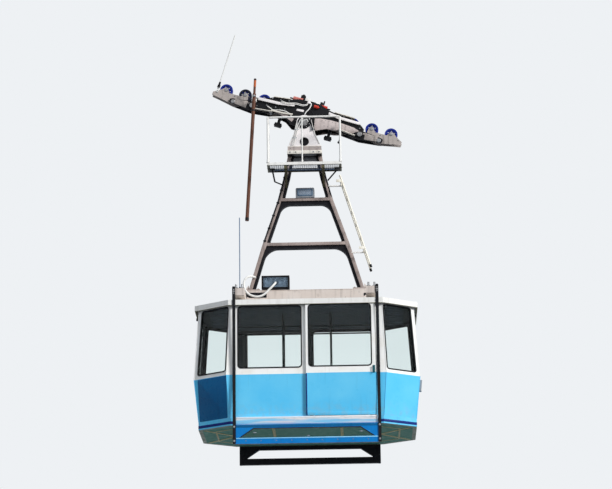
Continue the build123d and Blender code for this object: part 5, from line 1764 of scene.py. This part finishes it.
    def rope_gear(self) -> None:
        """Bolts and sleeves of the haul rope sockets, the rope guard and the aerial's insulator."""
        gear = Shape()
        for hand in HANDS:
            clamp = hand * 560
            for side in HANDS:
                gear.bolts([on_rope(clamp + ds, n, side * 42) for ds in (-48, 48)
                            for n in (-272, -328)], (0, side, 0), 11)
            for end in HANDS:
                gear.turned([(14, 0), (22, 0), (19, 10), (14, 12)],
                            on_rope(clamp + end * 75, -300), ALONG * end, 24)
        gear.bar(on_rope(800, -128), on_rope(812, -316), 26, 18, up=ALONG)
        gear.turned([(0, 14), (22, 14), (26, 8), (26, -8), (22, -14), (0, -14)],
                    on_rope(812, -318), (0, 1, 0), 20)
        gear.turned([(13, 130), (20, 126), (24, 60), (32, 52), (32, 0)],
                    on_rope(-2035, 152, -92), NORMAL, 20)
        gear.bolts([on_rope(-2035, n, -85) for n in (70, 230)], TOWARD, 10)
        self.put(gear, "rope_gear", "machine_black", "dark_steel")


@dataclass
class Wheels(Assembly):
    """Hub caps, bolts and web ribs of the eight running wheels."""

    hub: Outline = ((27, 40), (46, 40), (46, 45), (40, 51), (27, 51))
    web_face: float = 22
    bolt_circle: float = 78
    ribs: tuple[float, float] = (50, 107)
    rib_turn: float = 0.5

    def build(self) -> None:
        """Builds the same trim on each wheel."""
        places = [-s for s in reversed(WHEEL_PLACES)] + list(WHEEL_PLACES)
        for number, s in enumerate(places, start=1):
            hub, web = Shape(), Shape()
            middle = on_rope(s, AXLE_N)
            for side in HANDS:
                out = Vector((0, side, 0))
                lift = out * self.web_face
                hub.turned(self.hub, middle, out, 28)
                for k in range(6):
                    turn = k * pi / 3 + number
                    way = ALONG * cos(turn) + NORMAL * sin(turn)
                    hub.bolt(middle + way * self.bolt_circle + lift, out, 10, 8)
                    turn += self.rib_turn
                    way = ALONG * cos(turn) + NORMAL * sin(turn)
                    start, end = (middle + way * r + lift + out * 5 for r in self.ribs)
                    web.bar(start, end, 9, 16, up=out)
            wheel = f"wheel_{number}"
            self.put(hub, f"wheel_hub_{number}", "polished_steel", "steel", wheel)
            self.put(web, f"wheel_ribs_{number}", "wheel_blue", "wheel_blue", wheel)


@dataclass
class DrawRod(Assembly):
    """Ferrules, eye and end band of the draw rod, and the bolts of the pin that it hangs on."""

    BODY = Body.ROD

    lean: float = radians(3.5)
    pin: tuple[float, float] = (-1190, 75)

    def build(self) -> None:
        """Builds the rod's fittings."""
        rings, band, fixed = Shape(), Shape(), Shape()
        down = Vector((-sin(self.lean), 0, -cos(self.lean)))
        eye = on_rope(*self.pin, -360)
        rings.turned([(38, 0), (41, 2), (41, 60), (38, 64)], eye + down * 2722, down, 28)
        rings.turned([(38, 0), (41, 2), (41, 34), (38, 38)], eye + down * 300, down, 28)
        rings.turned([(0, -4), (24, -4), (28, 0), (28, 30), (26, 32)], eye - down * 400, down, 24)
        rings.turned([(12, 0), (30, 0), (30, 5), (22, 9), (12, 9)], eye + Vector((0, -39, 0)),
                     TOWARD, 24)
        self.put(rings, "rod_ferrules", "machine_black", "dark_steel")
        band.turned([(25, 0), (27, 2), (27, 150), (25, 152)], eye - down * 365, down, 28)
        self.put(band, "rod_end_band", "orange_wrap", "brown_coat")
        fixed.turned([(24, 0), (24, 10), (12, 16), (0, 16)], eye + Vector((0, -57, 0)), TOWARD, 20)
        s, n = self.pin
        fixed.bolts([on_rope(s + ds, n + dn, -185)
                     for ds, dn in ((-38, 22), (38, 22), (-38, -42), (38, -42))], TOWARD, 10)
        self.put(fixed, "rod_pin_bolts", "rolled_steel", "steel", Body.CARRIAGE)


@dataclass
class Studio:
    """Pale floor, soft light and the camera, which stands low and looks up."""

    eye: Point = (1.045, -46.066, -15.578)
    yaw: float = -0.0227
    pitch: float = 0.2700
    roll: float = -0.013
    focal: float = 132.0
    floor: float = -15.70
    pale: str = "#EEF1F4"

    def build(self) -> None:
        """Sets up the stage."""
        scene = bpy.context.scene
        scene.view_settings.view_transform = "Standard"
        self.camera(scene)
        self.ground()
        self.sky(scene)
        self.lamp("key", (0.72, -0.55, 0.42), 3.0, 14)
        self.lamp("fill", (-0.35, -0.9, 0.1), 0.5, 60)

    def camera(self, scene: bpy.types.Scene) -> None:
        """Places the camera by its eye point and turns."""
        ahead = Vector((sin(self.yaw) * cos(self.pitch), cos(self.yaw) * cos(self.pitch),
                        sin(self.pitch)))
        right = Vector((cos(self.yaw), -sin(self.yaw), 0))
        up = right.cross(ahead)
        level, tilt = cos(self.roll), sin(self.roll)
        across, over = right * level + up * tilt, up * level - right * tilt
        data = bpy.data.cameras.new("camera")
        data.lens, data.sensor_width = self.focal, 36.0
        data.clip_start, data.clip_end = 0.5, 2000.0
        made = bpy.data.objects.new("camera", data)
        made.matrix_world = plane_at(self.eye, across, over, -ahead)
        scene.collection.objects.link(made)
        scene.camera = made

    def ground(self) -> None:
        """Lays the floor: pale where it is looked at, duller where it throws light back."""
        mesh = bmesh.new()
        bmesh.ops.create_grid(mesh, x_segments=8, y_segments=8, size=400)
        bmesh.ops.translate(mesh, vec=(0, 0, self.floor), verts=mesh.verts)
        data = bpy.data.meshes.new("studio_floor")
        mesh.to_mesh(data)
        mesh.free()
        coat = Coat("studio_floor", "#55595E", 0.9)
        coat.lay(coat.patches(900, 0.3, 0.8, 0.3), "#5C6066")
        seen = self.seen(coat.tree)
        pale = add_node(coat.tree, "ShaderNodeBsdfPrincipled",
                        {"Base Color": linear(self.pale), "Roughness": 0.9})
        both = add_node(coat.tree, "ShaderNodeMixShader",
                        {0: seen, 1: coat.shader.outputs[0], 2: pale.outputs[0]})
        coat.tree.links.new(both.outputs[0], coat.output.inputs["Surface"])
        data.materials.append(coat.material)
        floor = bpy.data.objects.new("studio_floor", data)
        bpy.context.scene.collection.objects.link(floor)

    @staticmethod
    def seen(tree: bpy.types.NodeTree) -> bpy.types.NodeSocket:
        """1 for what the camera, a mirror or a window looks at."""
        path = add_node(tree, "ShaderNodeLightPath").outputs
        seen = path["Is Camera Ray"]
        for ray in ("Is Glossy Ray", "Is Transmission Ray"):
            seen = add_node(tree, "ShaderNodeMath", {0: seen, 1: path[ray]},
                            operation="MAXIMUM").outputs[0]
        return seen

    def sky(self, scene: bpy.types.Scene) -> None:
        """Fills the studio with soft light from above and a pale background."""
        world = bpy.data.worlds.new("studio_air")
        world.use_nodes = True
        tree = world.node_tree
        tree.nodes.clear()
        way = add_node(tree, "ShaderNodeTexCoord").outputs["Generated"]
        height = add_node(tree, "ShaderNodeSeparateXYZ", {"Vector": way}).outputs[2]
        strength = add_node(tree, "ShaderNodeMapRange",
                            {"From Min": -0.3, "From Max": 0.7, "To Min": 0.22, "To Max": 0.62,
                             "Value": height})
        light = add_node(tree, "ShaderNodeBackground",
                         {"Color": linear("#DDE8F6"), "Strength": strength.outputs[0]})
        pale = add_node(tree, "ShaderNodeBackground", {"Color": linear(self.pale), "Strength": 1.0})
        both = add_node(tree, "ShaderNodeMixShader",
                        {0: self.seen(tree), 1: light.outputs[0], 2: pale.outputs[0]})
        add_node(tree, "ShaderNodeOutputWorld", {"Surface": both.outputs[0]})
        scene.world = world

    def lamp(self, name: str, way: Point, strength: float, spread: float) -> None:
        """Adds a soft distant lamp.

        Args:
            name: Name of the lamp.
            way: Direction from the part to the lamp.
            strength: Its strength.
            spread: Width of its disc in degrees.
        """
        data = bpy.data.lights.new(name, "SUN")
        data.energy, data.angle = strength, radians(spread)
        made = bpy.data.objects.new(name, data)
        made.rotation_mode = "QUATERNION"
        made.rotation_quaternion = Vector(way).to_track_quat("Z", "Y")
        bpy.context.scene.collection.objects.link(made)


def main() -> None:
    """Dresses the frame, builds the detail pieces and sets up the studio."""
    logging.basicConfig(level=logging.INFO, format="%(message)s")
    finishes = Finishes()
    finishes.dress_nodes()
    for assembly in (CabinShell, Doors, Underside, Interior, Roof, Hanger, Head, Platform, Fittings,
                     Arms, Wheels, DrawRod):
        assembly(finishes).build()
        LOG.info("built %s", assembly.__name__)
    Studio().build()


if __name__ == "__main__":
    main()
